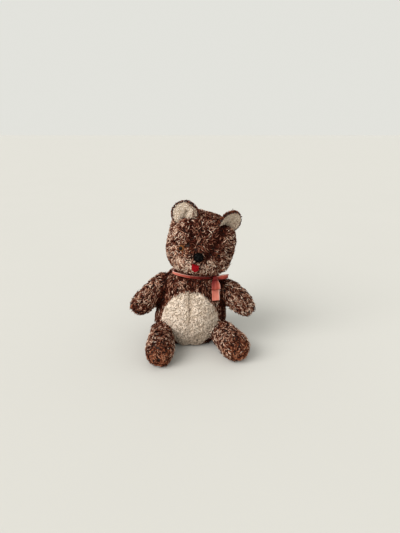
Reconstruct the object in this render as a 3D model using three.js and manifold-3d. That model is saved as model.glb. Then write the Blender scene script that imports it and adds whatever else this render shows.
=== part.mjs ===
// A small seated teddy bear of frosted plush. Its head, body, arms and legs are stuffed, and each is sewn
// from panels of its own. The ear linings and the belly are cream fleece. It has moulded eyes, a nose
// covered in flock, a felt tongue, and a ribbon tied at the neck.
// Millimetres, +Z up. The bear faces -Y, and its own left side is +X. The origin is on the floor, under the
// middle of the whole bear.
import * as THREE from "three";
import { mergeVertices } from "three/addons/utils/BufferGeometryUtils.js";
import Module from "manifold-3d";

const wasm = await Module();
wasm.setup();

// ---- Driving dimensions ----
const SEAM = 0.3; // clear gap along every seam, and between any two pieces that touch
const PLUSH = 4; // plush backing with half the height of its pile
const NECK_HEIGHT = 86;
const NECK_OFFSET = [4, -3]; // how far the body leans, to its left and forward, from the floor to the neck
const HEAD_TILT = THREE.MathUtils.degToRad(14);
const HEAD_NOD = THREE.MathUtils.degToRad(3);
const RIBBON_WIDTH = 10;
const RIBBON_THICKNESS = 0.8;
const FAR = 400; // reaches past everything

// Star-shaped forms: half sizes to the side, to front and back, up and down, with local swellings.
const HEAD = {
  centre: new THREE.Vector3(0.5, 0, 31),
  half: [38, 31, 37],
  halfDown: 37,
  squareness: [2.15, 2.9], // low down, high up
  around: 20,
  rings: 14,
  swellings: [
    { toward: [0, -1, -0.24], height: 8, spread: 0.42 }, // muzzle
    { toward: [0.66, -0.5, -0.5], height: 3.5, spread: 0.5 }, // cheeks
    { toward: [-0.66, -0.5, -0.5], height: 3.5, spread: 0.5 },
    { toward: [-0.8, 0, 0.62], height: 3, spread: 0.35 }, // stuffed harder below the right ear
  ],
};
const BODY = {
  centre: new THREE.Vector3(0, 0, 40),
  half: [38, 35, 56],
  halfDown: 58,
  squareness: [2.2, 2.2],
  around: 20,
  rings: 13,
  swellings: [
    { toward: [0, -1, -0.12], height: 6, spread: 0.7 }, // belly
    { toward: [0, 1, -0.6], height: 4, spread: 0.7 }, // seat
    { toward: [-1, 0, -0.4], height: 9, spread: 0.5 }, // right hip
    { toward: [1, 0, -0.45], height: 4.5, spread: 0.5 }, // left hip
    { toward: [-0.52, 0, 0.85], height: 4.5, spread: 0.32 }, // right shoulder, pulled up
  ],
};

// Limbs run from a root inside the body to a rounded end: radii are given at equal steps along the length.
const ARM = { length: 58, radii: [13.5, 15, 15, 14, 12.5], wide: 0.92, lift: -3, around: 14, rings: 9 };
const LONG_ARM = { ...ARM, length: 62.5, radii: [16.5, 16, 15, 14, 12.5], lift: 0 }; // pulled straighter
const LEG = { length: 79, radii: [12.5, 15, 16.5, 18.5, 20.2], wide: 0.88, lift: 0, around: 14, rings: 9 };
const SOLE = 6.5; // length of the leg's end that the sole closes
const LIMBS = {
  arm_left: { kind: ARM, root: [26, 0, 68], tip: [69, -20, 41], panels: ["front", "back"] },
  arm_right: { kind: LONG_ARM, root: [-20, 0, 75.5], tip: [-66.5, -19, 40], panels: ["back", "front"] },
  leg_left: { kind: LEG, root: [24, 2, 16.5], tip: [54, -65, 15.4], panels: ["outer", "inner"] },
  leg_right: { kind: LEG, root: [-34, -2, 16.5], tip: [-31.2, -80, 14.9], panels: ["inner", "outer"] },
};

// Head gusset: half width at each height, from its point at the nose to the crown.
const GUSSET = [
  [21, 0],
  [27, 5],
  [34, 9],
  [46, 13],
  [58, 16.5],
  [90, 18],
];

// Belly outline seen from the front, one half, from the top of the arch to the seat.
const BELLY = [
  [0, 71.5],
  [7, 70.5],
  [14, 67.2],
  [21, 61.5],
  [27.5, 52.5],
  [32, 42],
  [34, 32],
  [32, 22],
  [24, 11],
  [12, -1],
];

const EAR = {
  radius: 15,
  thickness: 5,
  rim: 1.8, // the plush back shows this wide round the lining
  lining: 2.2,
  cup: 0.016, // forward curl, in mm for each mm of radius squared
  sink: 9, // how far below the centre the ear is cut off, inside the head
};
const EARS = [
  { side: "left", at: [22, -11, 66.6], outward: -8, yaw: 36, droop: 12 },
  { side: "right", at: [-24.4, -14, 64.8], outward: 16, yaw: -6, droop: 4 },
];

const EYE = { radius: 3.6, height: 3, sink: 0.6, shank: 1.6, shankLength: 10 };
const NOSE = { radius: 5.8, height: 7.4, sink: 1.2, shank: 1.8, shankLength: 10 };
const WASHER = { radius: 5, thickness: 1.2, depth: 5.2 };
const FACE = {
  eye_left: { shape: EYE, toward: [0.56, -0.8, 0.01], finish: "eye" },
  eye_right: { shape: EYE, toward: [-0.59, -0.8, 0], finish: "eye" },
  nose: { shape: NOSE, toward: [-0.035, -1, -0.06], finish: "nose" },
};
const TONGUE = { width: 8.4, middle: -1, top: 19, length: 8.6, thickness: 1.4 };

// ---- Solids ----
function solidOf(geometry) {
  const bare = new THREE.BufferGeometry();
  bare.setAttribute("position", geometry.getAttribute("position"));
  bare.setIndex(geometry.index);
  const merged = mergeVertices(bare, 1e-4);
  const corners = merged.index.array;
  const faces = [];
  for (let i = 0; i < corners.length; i += 3) {
    const [a, b, c] = corners.subarray(i, i + 3);
    if (a !== b && b !== c && c !== a) faces.push(a, b, c);
  }
  const vertProperties = new Float32Array(merged.getAttribute("position").array);
  return new wasm.Manifold(new wasm.Mesh({ numProp: 3, vertProperties, triVerts: new Uint32Array(faces) }));
}

function geometryOf(solid) {
  const { vertProperties, triVerts } = solid.getMesh();
  const geometry = new THREE.BufferGeometry();
  geometry.setAttribute("position", new THREE.BufferAttribute(vertProperties, 3));
  geometry.setIndex(new THREE.BufferAttribute(triVerts, 1));
  geometry.computeVertexNormals();
  return geometry;
}

// A box between two corners.
function boxSolid(low, high) {
  const size = high.map((h, i) => h - low[i]);
  const box = new THREE.BoxGeometry(...size);
  box.translate(...low.map((l, i) => l + size[i] / 2));
  return solidOf(box);
}

// Everything on the + side of a plane across one axis, past a given distance.
function beyond(axis, distance) {
  const low = [-FAR, -FAR, -FAR];
  low[axis] = distance;
  return boxSolid(low, [FAR, FAR, FAR]);
}

// Everything below a height.
function below(height) {
  return boxSolid([-FAR, -FAR, -FAR], [FAR, FAR, height]);
}

function inFrame(solid, matrix) {
  return solid.transform([...matrix.elements]);
}

// An outline in the X-Z plane, cut right through from front to back.
function cutThrough(points) {
  const shape = new THREE.Shape(points.map(([x, z]) => new THREE.Vector2(x, z)));
  const prism = new THREE.ExtrudeGeometry(shape, { depth: 2 * FAR, bevelEnabled: false });
  prism.rotateX(Math.PI / 2);
  prism.translate(0, FAR, 0);
  return solidOf(mergeVertices(prism));
}

// ---- Forms ----
function formRadius(form, direction) {
  const [side, deep, up] = form.half;
  const high = direction.z > 0 ? up : form.halfDown;
  const [low, over] = form.squareness;
  const p = THREE.MathUtils.lerp(low, over, THREE.MathUtils.smoothstep(direction.z, -0.2, 0.6));
  const { x, y, z } = direction;
  const sum = Math.abs(x / side) ** p + Math.abs(y / deep) ** p + Math.abs(z / high) ** p;
  const swell = form.swellings.map(({ toward, height, spread }) => {
    const angle = direction.angleTo(new THREE.Vector3(...toward));
    return height * Math.exp(-((angle / spread) ** 2));
  });
  return sum ** (-1 / p) + swell.reduce((total, height) => total + height, 0);
}

function formSolid(form, inset) {
  const sphere = new THREE.SphereGeometry(1, form.around, form.rings);
  sphere.rotateX(Math.PI / 2);
  const places = sphere.getAttribute("position");
  const direction = new THREE.Vector3();
  for (let i = 0; i < places.count; i++) {
    direction.fromBufferAttribute(places, i).normalize();
    const radius = formRadius(form, direction) - inset;
    direction.multiplyScalar(radius).add(form.centre);
    places.setXYZ(i, ...direction);
  }
  return solidOf(mergeVertices(sphere, 1e-4));
}

// The place on a form in a direction from its centre, as a frame whose +Z points out of the surface.
function surfaceFrame(form, toward) {
  const step = 0.02;
  const direction = new THREE.Vector3(...toward).normalize();
  const place = (d) => d.clone().multiplyScalar(formRadius(form, d)).add(form.centre);
  const across = new THREE.Vector3(0, 0, 1).cross(direction).normalize();
  const upward = direction.clone().cross(across);
  const ahead = (v, s) => place(direction.clone().addScaledVector(v, s).normalize());
  const tangentA = ahead(across, step).sub(ahead(across, -step));
  const tangentB = ahead(upward, step).sub(ahead(upward, -step));
  const normal = tangentA.cross(tangentB).normalize();
  const turn = new THREE.Quaternion().setFromUnitVectors(new THREE.Vector3(0, 0, 1), normal);
  return new THREE.Matrix4().compose(place(direction), turn, new THREE.Vector3(1, 1, 1));
}

function limbRadius(limb, along) {
  const steps = limb.radii.length - 1;
  const at = Math.min(Math.max(along, 0), 1) * steps;
  const i = Math.min(Math.floor(at), steps - 1);
  return THREE.MathUtils.lerp(limb.radii[i], limb.radii[i + 1], THREE.MathUtils.smoothstep(at - i, 0, 1));
}

// A limb along its own +Z, from 0 to its length, with blunt round ends.
function limbSolid(limb, inset) {
  const blunt = 3.2;
  const half = limb.length / 2 - inset;
  const profile = [];
  for (let i = 0; i <= limb.rings; i++) {
    const u = -Math.cos((Math.PI * i) / limb.rings);
    const round = (1 - Math.abs(u) ** blunt) ** (1 / blunt);
    const z = limb.length / 2 + u * half;
    const radius = (limbRadius(limb, z / limb.length) - inset) * round;
    profile.push(new THREE.Vector2(Math.max(radius, 0), z));
  }
  profile[0].x = 0;
  profile[limb.rings].x = 0;
  const lathe = new THREE.LatheGeometry(profile, limb.around);
  lathe.rotateX(Math.PI / 2);
  lathe.scale(limb.wide, 1, 1);
  return solidOf(bentLimb(lathe, limb));
}

// Bends a limb's centre line sideways, most at its middle.
function bentLimb(geometry, limb) {
  const places = geometry.getAttribute("position");
  for (let i = 0; i < places.count; i++) {
    const along = places.getZ(i) / limb.length;
    places.setY(i, places.getY(i) - limb.lift * Math.sin(Math.PI * along));
  }
  return geometry;
}

// The frame of a limb: +Z from root to tip, +Y as near to straight up as it can be.
function limbMatrix(root, tip) {
  const from = new THREE.Vector3(...root);
  const along = new THREE.Vector3(...tip).sub(from).normalize();
  const across = new THREE.Vector3(0, 0, 1).cross(along).normalize();
  const up = along.clone().cross(across);
  return new THREE.Matrix4().makeBasis(across, up, along).setPosition(from);
}

// ---- Materials ----
const FINISHES = {
  plush: { color: 0x6d4633, roughness: 0.95 },
  fleece: { color: 0xd9c7ae, roughness: 0.95 },
  filling: { color: 0xe8e4d8, roughness: 1 },
  eye: { color: 0x3a1c0b, roughness: 0.15 },
  nose: { color: 0x15130f, roughness: 0.9 },
  felt: { color: 0xb3121c, roughness: 0.95 },
  satin: { color: 0xd8705c, roughness: 0.45 },
  washer: { color: 0xe6e6e0, roughness: 0.5 },
};

function piece(name, solid, finish) {
  const material = new THREE.MeshStandardMaterial({ ...FINISHES[finish], metalness: 0 });
  const mesh = new THREE.Mesh(geometryOf(solid), material);
  mesh.name = name;
  return mesh;
}

function groupAt(matrix) {
  const group = new THREE.Group();
  matrix.decompose(group.position, group.quaternion, group.scale);
  return group;
}

// ---- Body ----
const bear = new THREE.Group();
const lean = NECK_OFFSET.map((offset) => offset / NECK_HEIGHT);
const bodyLean = new THREE.Matrix4().makeShear(0, 0, 0, 0, ...lean);

function bodyForm(inset) {
  return inFrame(formSolid(BODY, inset), bodyLean);
}

// The belly's outline, grown by half a seam or shrunk by it, as a solid through the front half of the body.
function bellyCutter(growth) {
  const half = BELLY.map(([x, z]) => [x === 0 ? 0 : x + growth, z + growth]);
  const mirrored = half
    .slice(1)
    .reverse()
    .map(([x, z]) => [-x, z]);
  return cutThrough([...half, ...mirrored]).subtract(beyond(1, growth));
}

function buildBody() {
  const top = beyond(2, NECK_HEIGHT - SEAM / 2);
  const hollow = bodyForm(PLUSH).subtract(below(PLUSH));
  const skin = bodyForm(0).subtract(below(0)).subtract(top).subtract(hollow);
  const filling = bodyForm(PLUSH + SEAM)
    .subtract(below(PLUSH + SEAM))
    .subtract(top);
  const right = beyond(0, -SEAM / 2);
  const left = beyond(0, SEAM / 2);
  const belly = skin.intersect(bellyCutter(-SEAM / 2));
  const rest = skin.subtract(bellyCutter(SEAM / 2));
  const behind = beyond(1, SEAM / 2);
  const ahead = beyond(1, -SEAM / 2);
  const panels = {
    belly: [belly, "fleece"],
    chest: [rest.subtract(ahead), "plush"],
    back: [rest.intersect(behind), "plush"],
  };
  for (const [name, [panel, finish]] of Object.entries(panels)) {
    bear.add(piece(`${name}_left`, panel.intersect(left), finish));
    bear.add(piece(`${name}_right`, panel.subtract(right), finish));
  }
  bear.add(piece("body_filling", filling, "filling"));
}

// ---- Limbs ----
function buildLimb(name, { kind, root, tip, panels }) {
  const frame = limbMatrix(root, tip);
  const toLimb = frame.clone().invert();
  const local = (solid) => inFrame(solid, toLimb);
  const body = local(bodyForm(-SEAM));
  const hollow = limbSolid(kind, PLUSH).subtract(local(below(PLUSH)));
  const skin = limbSolid(kind, 0)
    .subtract(local(below(0)))
    .subtract(hollow)
    .subtract(body);
  const filling = limbSolid(kind, PLUSH + SEAM)
    .subtract(local(below(PLUSH + SEAM)))
    .subtract(body);
  const group = groupAt(frame);
  const isLeg = kind === LEG;
  const tube = isLeg ? skin.subtract(beyond(2, kind.length - SOLE)) : skin;
  group.add(piece(`${name}_${panels[0]}`, tube.intersect(beyond(0, SEAM / 2)), "plush"));
  group.add(piece(`${name}_${panels[1]}`, tube.subtract(beyond(0, -SEAM / 2)), "plush"));
  group.add(piece(`${name}_filling`, filling, "filling"));
  const end = skin.intersect(beyond(2, kind.length - SOLE + SEAM));
  if (isLeg) group.add(piece(`${name}_sole`, end, "plush"));
  bear.add(group);
}

// ---- Head ----
const headFrame = new THREE.Matrix4()
  .makeTranslation(...NECK_OFFSET, NECK_HEIGHT)
  .multiply(new THREE.Matrix4().makeRotationY(HEAD_TILT))
  .multiply(new THREE.Matrix4().makeRotationX(HEAD_NOD));
const toHead = headFrame.clone().invert();

// The gusset's outline, grown by half a seam or shrunk by it, as a solid right through the head.
function gussetCutter(growth) {
  const half = GUSSET.map(([z, x]) => (x === 0 ? [0, z - 2 * growth] : [x + growth, z]));
  const mirrored = half
    .slice(1)
    .reverse()
    .map(([x, z]) => [-x, z]);
  return cutThrough([...half, ...mirrored]);
}

// A moulded button on a shank, lathed about +Z with its flange at z = 0. growth makes room round it.
function buttonSolid({ radius, height, shank, shankLength }, growth) {
  const steps = 5;
  const profile = [
    new THREE.Vector2(0, -shankLength - growth),
    new THREE.Vector2(shank + growth, -shankLength - growth),
    new THREE.Vector2(shank + growth, -growth),
  ];
  for (let i = 0; i <= steps; i++) {
    const angle = (Math.PI / 2) * (i / steps);
    const across = (radius + growth) * Math.cos(angle);
    profile.push(new THREE.Vector2(across, (height + growth) * Math.sin(angle) - growth * Math.cos(angle)));
  }
  profile[profile.length - 1].x = 0;
  const lathe = new THREE.LatheGeometry(profile, 12);
  lathe.rotateX(Math.PI / 2);
  return solidOf(lathe);
}

// The push-on washer that locks a shank behind the plush.
function washerSolid(shank, growth) {
  const { radius, thickness, depth } = WASHER;
  const profile = [
    [shank + SEAM - growth, -depth - thickness - growth],
    [radius + growth, -depth - thickness - growth],
    [radius + growth, -depth + growth],
    [shank + SEAM - growth, -depth + growth],
    [shank + SEAM - growth, -depth - thickness - growth],
  ];
  const lathe = new THREE.LatheGeometry(
    profile.map(([r, z]) => new THREE.Vector2(r, z)),
    10,
  );
  lathe.rotateX(Math.PI / 2);
  return solidOf(lathe);
}

// The frame of an eye or the nose on the face.
function buttonFrame({ shape, toward }) {
  const sunk = new THREE.Matrix4().makeTranslation(0, 0, -shape.sink);
  return surfaceFrame(HEAD, toward).multiply(sunk);
}

function tongueSolid() {
  const { width, middle, top, length, thickness } = TONGUE;
  const half = width / 2;
  const outline = [[middle + half, top]];
  const steps = 8;
  for (let i = 0; i <= steps; i++) {
    const angle = (Math.PI * i) / steps;
    outline.push([middle + half * Math.cos(angle), top - length + half - half * Math.sin(angle)]);
  }
  outline.push([middle - half, top]);
  const layer = formSolid(HEAD, -SEAM - thickness).subtract(formSolid(HEAD, -SEAM));
  return layer.intersect(cutThrough(outline)).subtract(beyond(1, 0));
}

// One ear, standing on +Z and facing -Y: a plush back with a raised rim, and the lining in its pocket.
function earDisc(radius, front, back) {
  const disc = new THREE.CylinderGeometry(radius, radius, back - front, 22, 1);
  disc.translate(0, (front + back) / 2, 0);
  const places = disc.getAttribute("position");
  for (let i = 0; i < places.count; i++) {
    const reach = places.getX(i) ** 2 + places.getZ(i) ** 2;
    places.setY(i, places.getY(i) - EAR.cup * reach);
  }
  return solidOf(disc);
}

function buildEar({ side, at, outward, yaw, droop }, headForm) {
  const turn = new THREE.Euler(
    THREE.MathUtils.degToRad(droop),
    THREE.MathUtils.degToRad(-outward),
    THREE.MathUtils.degToRad(yaw),
    "ZYX",
  );
  const quaternion = new THREE.Quaternion().setFromEuler(turn);
  const place = new THREE.Vector3(...at);
  const frame = new THREE.Matrix4().compose(place, quaternion, new THREE.Vector3(1, 1, 1));
  const room = inFrame(headForm, frame.clone().invert());
  const { radius, thickness, rim, lining, sink } = EAR;
  const floor = below(-sink);
  const pocket = earDisc(radius - rim, -FAR, -thickness / 2 + lining);
  const back = earDisc(radius, -thickness / 2, thickness / 2).subtract(pocket);
  const front = earDisc(radius - rim - SEAM, -thickness / 2 - 0.4, -thickness / 2 + lining - SEAM);
  const group = groupAt(frame);
  group.add(piece(`ear_${side}_back`, back.subtract(floor).subtract(room), "plush"));
  group.add(piece(`ear_${side}_lining`, front.subtract(floor).subtract(room), "fleece"));
  return group;
}

function buildHead() {
  const group = groupAt(headFrame);
  const neck = inFrame(below(NECK_HEIGHT + SEAM / 2), toHead);
  const hollow = formSolid(HEAD, PLUSH);
  let skin = formSolid(HEAD, 0).subtract(hollow).subtract(neck);
  let filling = formSolid(HEAD, PLUSH + SEAM).subtract(neck);
  for (const [name, button] of Object.entries(FACE)) {
    const { shape, finish } = button;
    const frame = buttonFrame(button);
    const room = inFrame(buttonSolid(shape, SEAM), frame);
    skin = skin.subtract(room);
    filling = filling.subtract(room).subtract(inFrame(washerSolid(shape.shank, SEAM), frame));
    const placed = groupAt(frame);
    placed.add(piece(name, buttonSolid(shape, 0), finish));
    placed.add(piece(`${name}_washer`, washerSolid(shape.shank, 0), "washer"));
    group.add(placed);
  }
  const sides = skin.subtract(gussetCutter(SEAM / 2));
  group.add(piece("head_gusset", skin.intersect(gussetCutter(-SEAM / 2)), "plush"));
  group.add(piece("head_side_left", sides.intersect(beyond(0, SEAM / 2)), "plush"));
  group.add(piece("head_side_right", sides.subtract(beyond(0, -SEAM / 2)), "plush"));
  group.add(piece("head_filling", filling, "filling"));
  group.add(piece("tongue", tongueSolid(), "felt"));
  const headForm = formSolid(HEAD, -SEAM);
  for (const ear of EARS) group.add(buildEar(ear, headForm));
  bear.add(group);
}

// ---- Ribbon ----
// A strip of ribbon that follows a path drawn in its own side view, as wide as the ribbon.
function stripSolid(path, width) {
  const line = new THREE.SplineCurve(path.map(([x, y]) => new THREE.Vector2(x, y))).getSpacedPoints(9);
  const offset = (i, side) => {
    const ahead = line[Math.min(i + 1, line.length - 1)];
    const behind = line[Math.max(i - 1, 0)];
    const along = ahead.clone().sub(behind).normalize();
    const away = new THREE.Vector2(-along.y, along.x).multiplyScalar((side * RIBBON_THICKNESS) / 2);
    return line[i].clone().add(away);
  };
  const outline = line.map((_, i) => offset(i, 1));
  const returning = line.map((_, i) => offset(i, -1)).reverse();
  const shape = new THREE.Shape([...outline, ...returning]);
  const strip = new THREE.ExtrudeGeometry(shape, { depth: width, bevelEnabled: false });
  strip.translate(0, 0, -width / 2);
  return solidOf(mergeVertices(strip));
}

// Side view (outward, up) turned so that outward is -Y, and the ribbon's width lies along X.
const hanging = new THREE.Matrix4().makeBasis(
  new THREE.Vector3(0, -1, 0),
  new THREE.Vector3(0, 0, 1),
  new THREE.Vector3(-1, 0, 0),
);
// Plan view (sideways, outward) turned so that the ribbon's width stands along Z.
const standing = new THREE.Matrix4().makeBasis(
  new THREE.Vector3(1, 0, 0),
  new THREE.Vector3(0, -1, 0),
  new THREE.Vector3(0, 0, -1),
);

const BAND = { inner: 25, thickness: 2.6, height: 5, depthShare: 1.03 };
const KNOT = {
  angle: THREE.MathUtils.degToRad(50), // round the neck, from straight ahead to the bear's left
  facing: THREE.MathUtils.degToRad(14),
  half: [5, 3.4, 4.2],
};
const BOW = {
  hangingLoop: [[2, 1], [6.5, -4], [9.8, -9], [10.2, -12.5], [8.4, -13], [6.6, -9], [3.6, -4], [0.4, 0.5]],
  tail: [[0.6, 0], [4.6, -5], [7.6, -10], [9.8, -15], [11.2, -20], [12, -24]],
  shortTail: [[0.2, 0], [3.4, -5], [6.3, -10], [8.3, -15]],
  sideLoop: [[0, 2], [6, 4.4], [12, 4.6], [15, 2.4], [12.6, 0], [6, -0.6], [0, 0]],
};

function ribbonSolid() {
  const { inner, thickness, height, depthShare } = BAND;
  const profile = [
    [inner, -height / 2],
    [inner + thickness, -height / 2],
    [inner + thickness, height / 2],
    [inner, height / 2],
    [inner, -height / 2],
  ];
  const band = new THREE.LatheGeometry(
    profile.map(([r, z]) => new THREE.Vector2(r, z)),
    24,
  );
  band.rotateX(Math.PI / 2);
  band.scale(1, depthShare, 1);
  band.rotateY(HEAD_TILT / 2);
  band.translate(...NECK_OFFSET, NECK_HEIGHT);
  const reach = inner + thickness + 0.6;
  const ahead = reach * depthShare * Math.cos(KNOT.angle);
  const place = new THREE.Vector3(reach * Math.sin(KNOT.angle), -ahead, 0)
    .applyAxisAngle(new THREE.Vector3(0, 1, 0), HEAD_TILT / 2)
    .add(new THREE.Vector3(...NECK_OFFSET, NECK_HEIGHT));
  const knotFrame = new THREE.Matrix4().makeRotationZ(KNOT.facing).setPosition(place);
  const knot = new THREE.SphereGeometry(1, 14, 10);
  knot.scale(...KNOT.half);
  const tied = [
    solidOf(mergeVertices(knot, 1e-4)),
    inFrame(stripSolid(BOW.hangingLoop, RIBBON_WIDTH), hanging),
    inFrame(stripSolid(BOW.tail, RIBBON_WIDTH), hanging),
    inFrame(stripSolid(BOW.shortTail, RIBBON_WIDTH), hanging).translate([0.8, 0, 0]),
    inFrame(stripSolid(BOW.sideLoop, RIBBON_WIDTH * 0.8), standing),
  ];
  let ribbon = solidOf(band);
  for (const part of tied) ribbon = ribbon.add(inFrame(part, knotFrame));
  const head = inFrame(formSolid(HEAD, -SEAM), headFrame);
  return ribbon.subtract(bodyForm(-SEAM)).subtract(head);
}

buildBody();
for (const [name, limb] of Object.entries(LIMBS)) buildLimb(name, limb);
buildHead();
bear.add(piece("ribbon", ribbonSolid(), "satin"));

// Puts the origin on the floor, under the middle of the whole bear.
bear.updateMatrixWorld(true);
const whole = new THREE.Box3().setFromObject(bear, true);
const middle = whole.getCenter(new THREE.Vector3());
bear.position.set(-middle.x, -middle.y, -whole.min.z);

export default bear;
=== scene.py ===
# %% [markdown]
# # A small bear, sewn and stuffed
#
# The bear is about 169 mm tall as it sits. Its skin is frosted plush: a rust-brown pile whose tips are
# paler, now worn and matted. The belly and the ear linings are cream fleece. A ribbon is tied round the
# neck, the eyes are moulded buttons, the nose is flocked and the tongue is a scrap of felt.
#
# The CAD model gives every piece its place and size. This file keeps those places and makes the surfaces:
# soft skins over the stuffing, then the pile that grows on them.

import math

import bmesh
import bpy
import numpy as np
from mathutils import Matrix, Vector, noise
from mathutils.bvhtree import BVHTree
from mathutils.kdtree import KDTree


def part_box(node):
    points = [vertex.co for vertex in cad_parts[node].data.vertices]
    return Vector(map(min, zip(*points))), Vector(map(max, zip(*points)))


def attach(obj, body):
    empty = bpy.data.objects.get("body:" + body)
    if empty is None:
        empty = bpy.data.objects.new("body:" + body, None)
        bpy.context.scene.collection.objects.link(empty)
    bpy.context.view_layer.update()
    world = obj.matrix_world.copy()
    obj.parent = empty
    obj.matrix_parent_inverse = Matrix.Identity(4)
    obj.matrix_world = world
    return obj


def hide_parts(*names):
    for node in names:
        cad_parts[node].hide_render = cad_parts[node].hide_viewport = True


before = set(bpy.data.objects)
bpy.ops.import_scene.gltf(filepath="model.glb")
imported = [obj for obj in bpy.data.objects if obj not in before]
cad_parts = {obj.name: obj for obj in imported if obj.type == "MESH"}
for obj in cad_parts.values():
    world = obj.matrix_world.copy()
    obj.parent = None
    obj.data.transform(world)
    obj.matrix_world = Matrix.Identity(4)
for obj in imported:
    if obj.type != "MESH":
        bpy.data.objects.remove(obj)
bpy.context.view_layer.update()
scene = bpy.context.scene
MM = 0.001
print("CAD nodes:", len(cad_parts))

# %% [markdown]
# ## Camera, floor and light
#
# A camera is set before anything is made, so that every later choice can be judged through it. It could be
# placed by eye, but a place and a tilt in real units can be worked out once and kept. It stands a little
# under half a metre off, slightly above the bear, and looks down. The lens is a wide one, as on a phone.

# %% Camera
CAMERA_PLACE = Vector((8.9, -417.0, 235)) * MM
CAMERA_TILT = math.radians(18.5)  # downwards
LENS = 27.0  # mm, on a sensor 36 mm along its longer side


def add_object(name, data):
    """A new object at the origin, in the scene."""
    made = bpy.data.objects.new(name, data)
    scene.collection.objects.link(made)
    return made


def camera_at(place, tilt, lens):
    camera = add_object("camera", bpy.data.cameras.new("camera"))
    camera.data.lens = lens
    camera.data.sensor_width = 36
    camera.data.clip_start = 0.01
    camera.location = place
    camera.rotation_euler = (math.radians(90) - tilt, 0, 0)
    return camera


scene.camera = camera_at(CAMERA_PLACE, CAMERA_TILT, LENS)
print("camera stands", round(CAMERA_PLACE.length / MM), "mm from the origin")

# %% [markdown]
# The floor is a plain pale sheet that runs far past the view. Real studio paper is never one flat value, so
# a very faint noise moves its colour and its roughness.


# %% Material helpers
class Maker:
    """Adds nodes to a tree. A source is another node's socket, which is linked, or a plain value."""

    def __init__(self, tree):
        self.tree = tree

    def feed(self, socket, source):
        if isinstance(source, bpy.types.NodeSocket):
            self.tree.links.new(source, socket)
        else:
            socket.default_value = source

    def node(self, kind, sources=(), **settings):
        made = self.tree.nodes.new(kind)
        for name, value in settings.items():
            setattr(made, name, value)
        if isinstance(sources, dict):
            for name, source in sources.items():
                sockets = [s for s in made.inputs if s.name == name and s.enabled]
                self.feed(sockets[0], source)
        else:
            for place, source in enumerate(sources):
                self.feed(made.inputs[place], source)
        return made

    def number(self, operation, *sources):
        return self.node("ShaderNodeMath", sources, operation=operation).outputs[0]

    def plus(self, first, second):
        return self.number("ADD", first, second)

    def minus(self, first, second):
        return self.number("SUBTRACT", first, second)

    def times(self, first, *others):
        for other in others:
            first = self.number("MULTIPLY", first, other)
        return first

    def vector(self, operation, *sources):
        made = self.node("ShaderNodeVectorMath", sources, operation=operation)
        return made.outputs["Value" if operation == "DOT_PRODUCT" else "Vector"]

    def added(self, first, *others):
        """The sum of a few vectors."""
        for other in others:
            first = self.vector("ADD", first, other)
        return first

    def scaled(self, vector, factor):
        made = self.node("ShaderNodeVectorMath", {"Vector": vector, "Scale": factor}, operation="SCALE")
        return made.outputs["Vector"]

    def apart(self, vector):
        """A vector's own numbers, named X, Y and Z."""
        return self.node("ShaderNodeSeparateXYZ", [vector]).outputs

    def joined(self, *numbers):
        return self.node("ShaderNodeCombineXYZ", numbers).outputs[0]

    def noise(self, vector, scale, detail=3.0, roughness=0.5, output="Fac"):
        sources = {"Vector": vector, "Scale": scale, "Detail": detail, "Roughness": roughness}
        return self.node("ShaderNodeTexNoise", sources).outputs[output]

    def mix(self, share, low, high):
        sources = {"Factor": share, "A": low, "B": high}
        return self.node("ShaderNodeMix", sources, data_type="RGBA").outputs["Result"]

    def ramp(self, share, stops):
        made = self.node("ShaderNodeValToRGB", [share])
        points = made.color_ramp.elements
        while len(points) < len(stops):
            points.new(0.5)
        for point, (position, colour) in zip(points, stops):
            point.position = position
            point.color = (*colour, 1)
        return made.outputs["Color"]

    def spread(self, value, low, high):
        """A grey value from 0 to 1 turned into one from low to high."""
        sources = {"Value": value, "To Min": low, "To Max": high}
        return self.node("ShaderNodeMapRange", sources).outputs["Result"]


class Surface(Maker):
    """A new material with its shader. The values given are set on the shader's own sockets."""

    def __init__(self, name, **values):
        self.material = bpy.data.materials.new(name)
        self.material.use_nodes = True
        super().__init__(self.material.node_tree)
        self.shader = self.tree.nodes["Principled BSDF"]
        self.shade(**values)

    def shade(self, **sources):
        """Feeds the shader. Each socket is named with _ in place of a space."""
        for name, source in sources.items():
            self.feed(self.shader.inputs[name.replace("_", " ")], source)

    def bump(self, height, strength, depth):
        sources = {"Height": height, "Strength": strength, "Distance": depth}
        self.shade(Normal=self.node("ShaderNodeBump", sources).outputs["Normal"])

    def place(self):
        """The object's own coordinates, so a pattern moves with the bear."""
        return self.node("ShaderNodeTexCoord").outputs["Object"]

    def value(self, name):
        """A number that is stored on the mesh."""
        return self.node("ShaderNodeAttribute", attribute_name=name).outputs["Fac"]

    def chart(self, name):
        return self.node("ShaderNodeUVMap", uv_map=name).outputs["UV"]


# %% Floor
def paper_material():
    make = Surface("pale_paper", Specular_IOR_Level=0.2)
    mottle = make.noise(make.place(), 6.0)
    colour = make.mix(mottle, (0.597, 0.59, 0.563, 1), (0.612, 0.605, 0.578, 1))
    make.shade(Base_Color=colour, Roughness=make.spread(mottle, 0.85, 0.95))
    return make.material


def floor_sheet(half):
    mesh = bpy.data.meshes.new("floor")
    corners = [(-half, -half, 0), (half, -half, 0), (half, half, 0), (-half, half, 0)]
    mesh.from_pydata(corners, [], [(0, 1, 2, 3)])
    mesh.materials.append(paper_material())
    return add_object("floor", mesh)


FLOOR_HALF = 40.0  # metres
floor = floor_sheet(FLOOR_HALF)

# %% [markdown]
# The light is a bright, even room: a pale world on every side, and one large soft window far off on the
# left. A lamp near by would fade across the floor, so the window is a sun lamp with a very wide disc: its
# light is even everywhere, and its shadows are soft but still lean to one side.


# %% Light
WINDOW_FROM = Vector((-1.0, -0.85, 0.85))
WINDOW_SPREAD = math.radians(50)
WINDOW_POWER = 3.0


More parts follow.
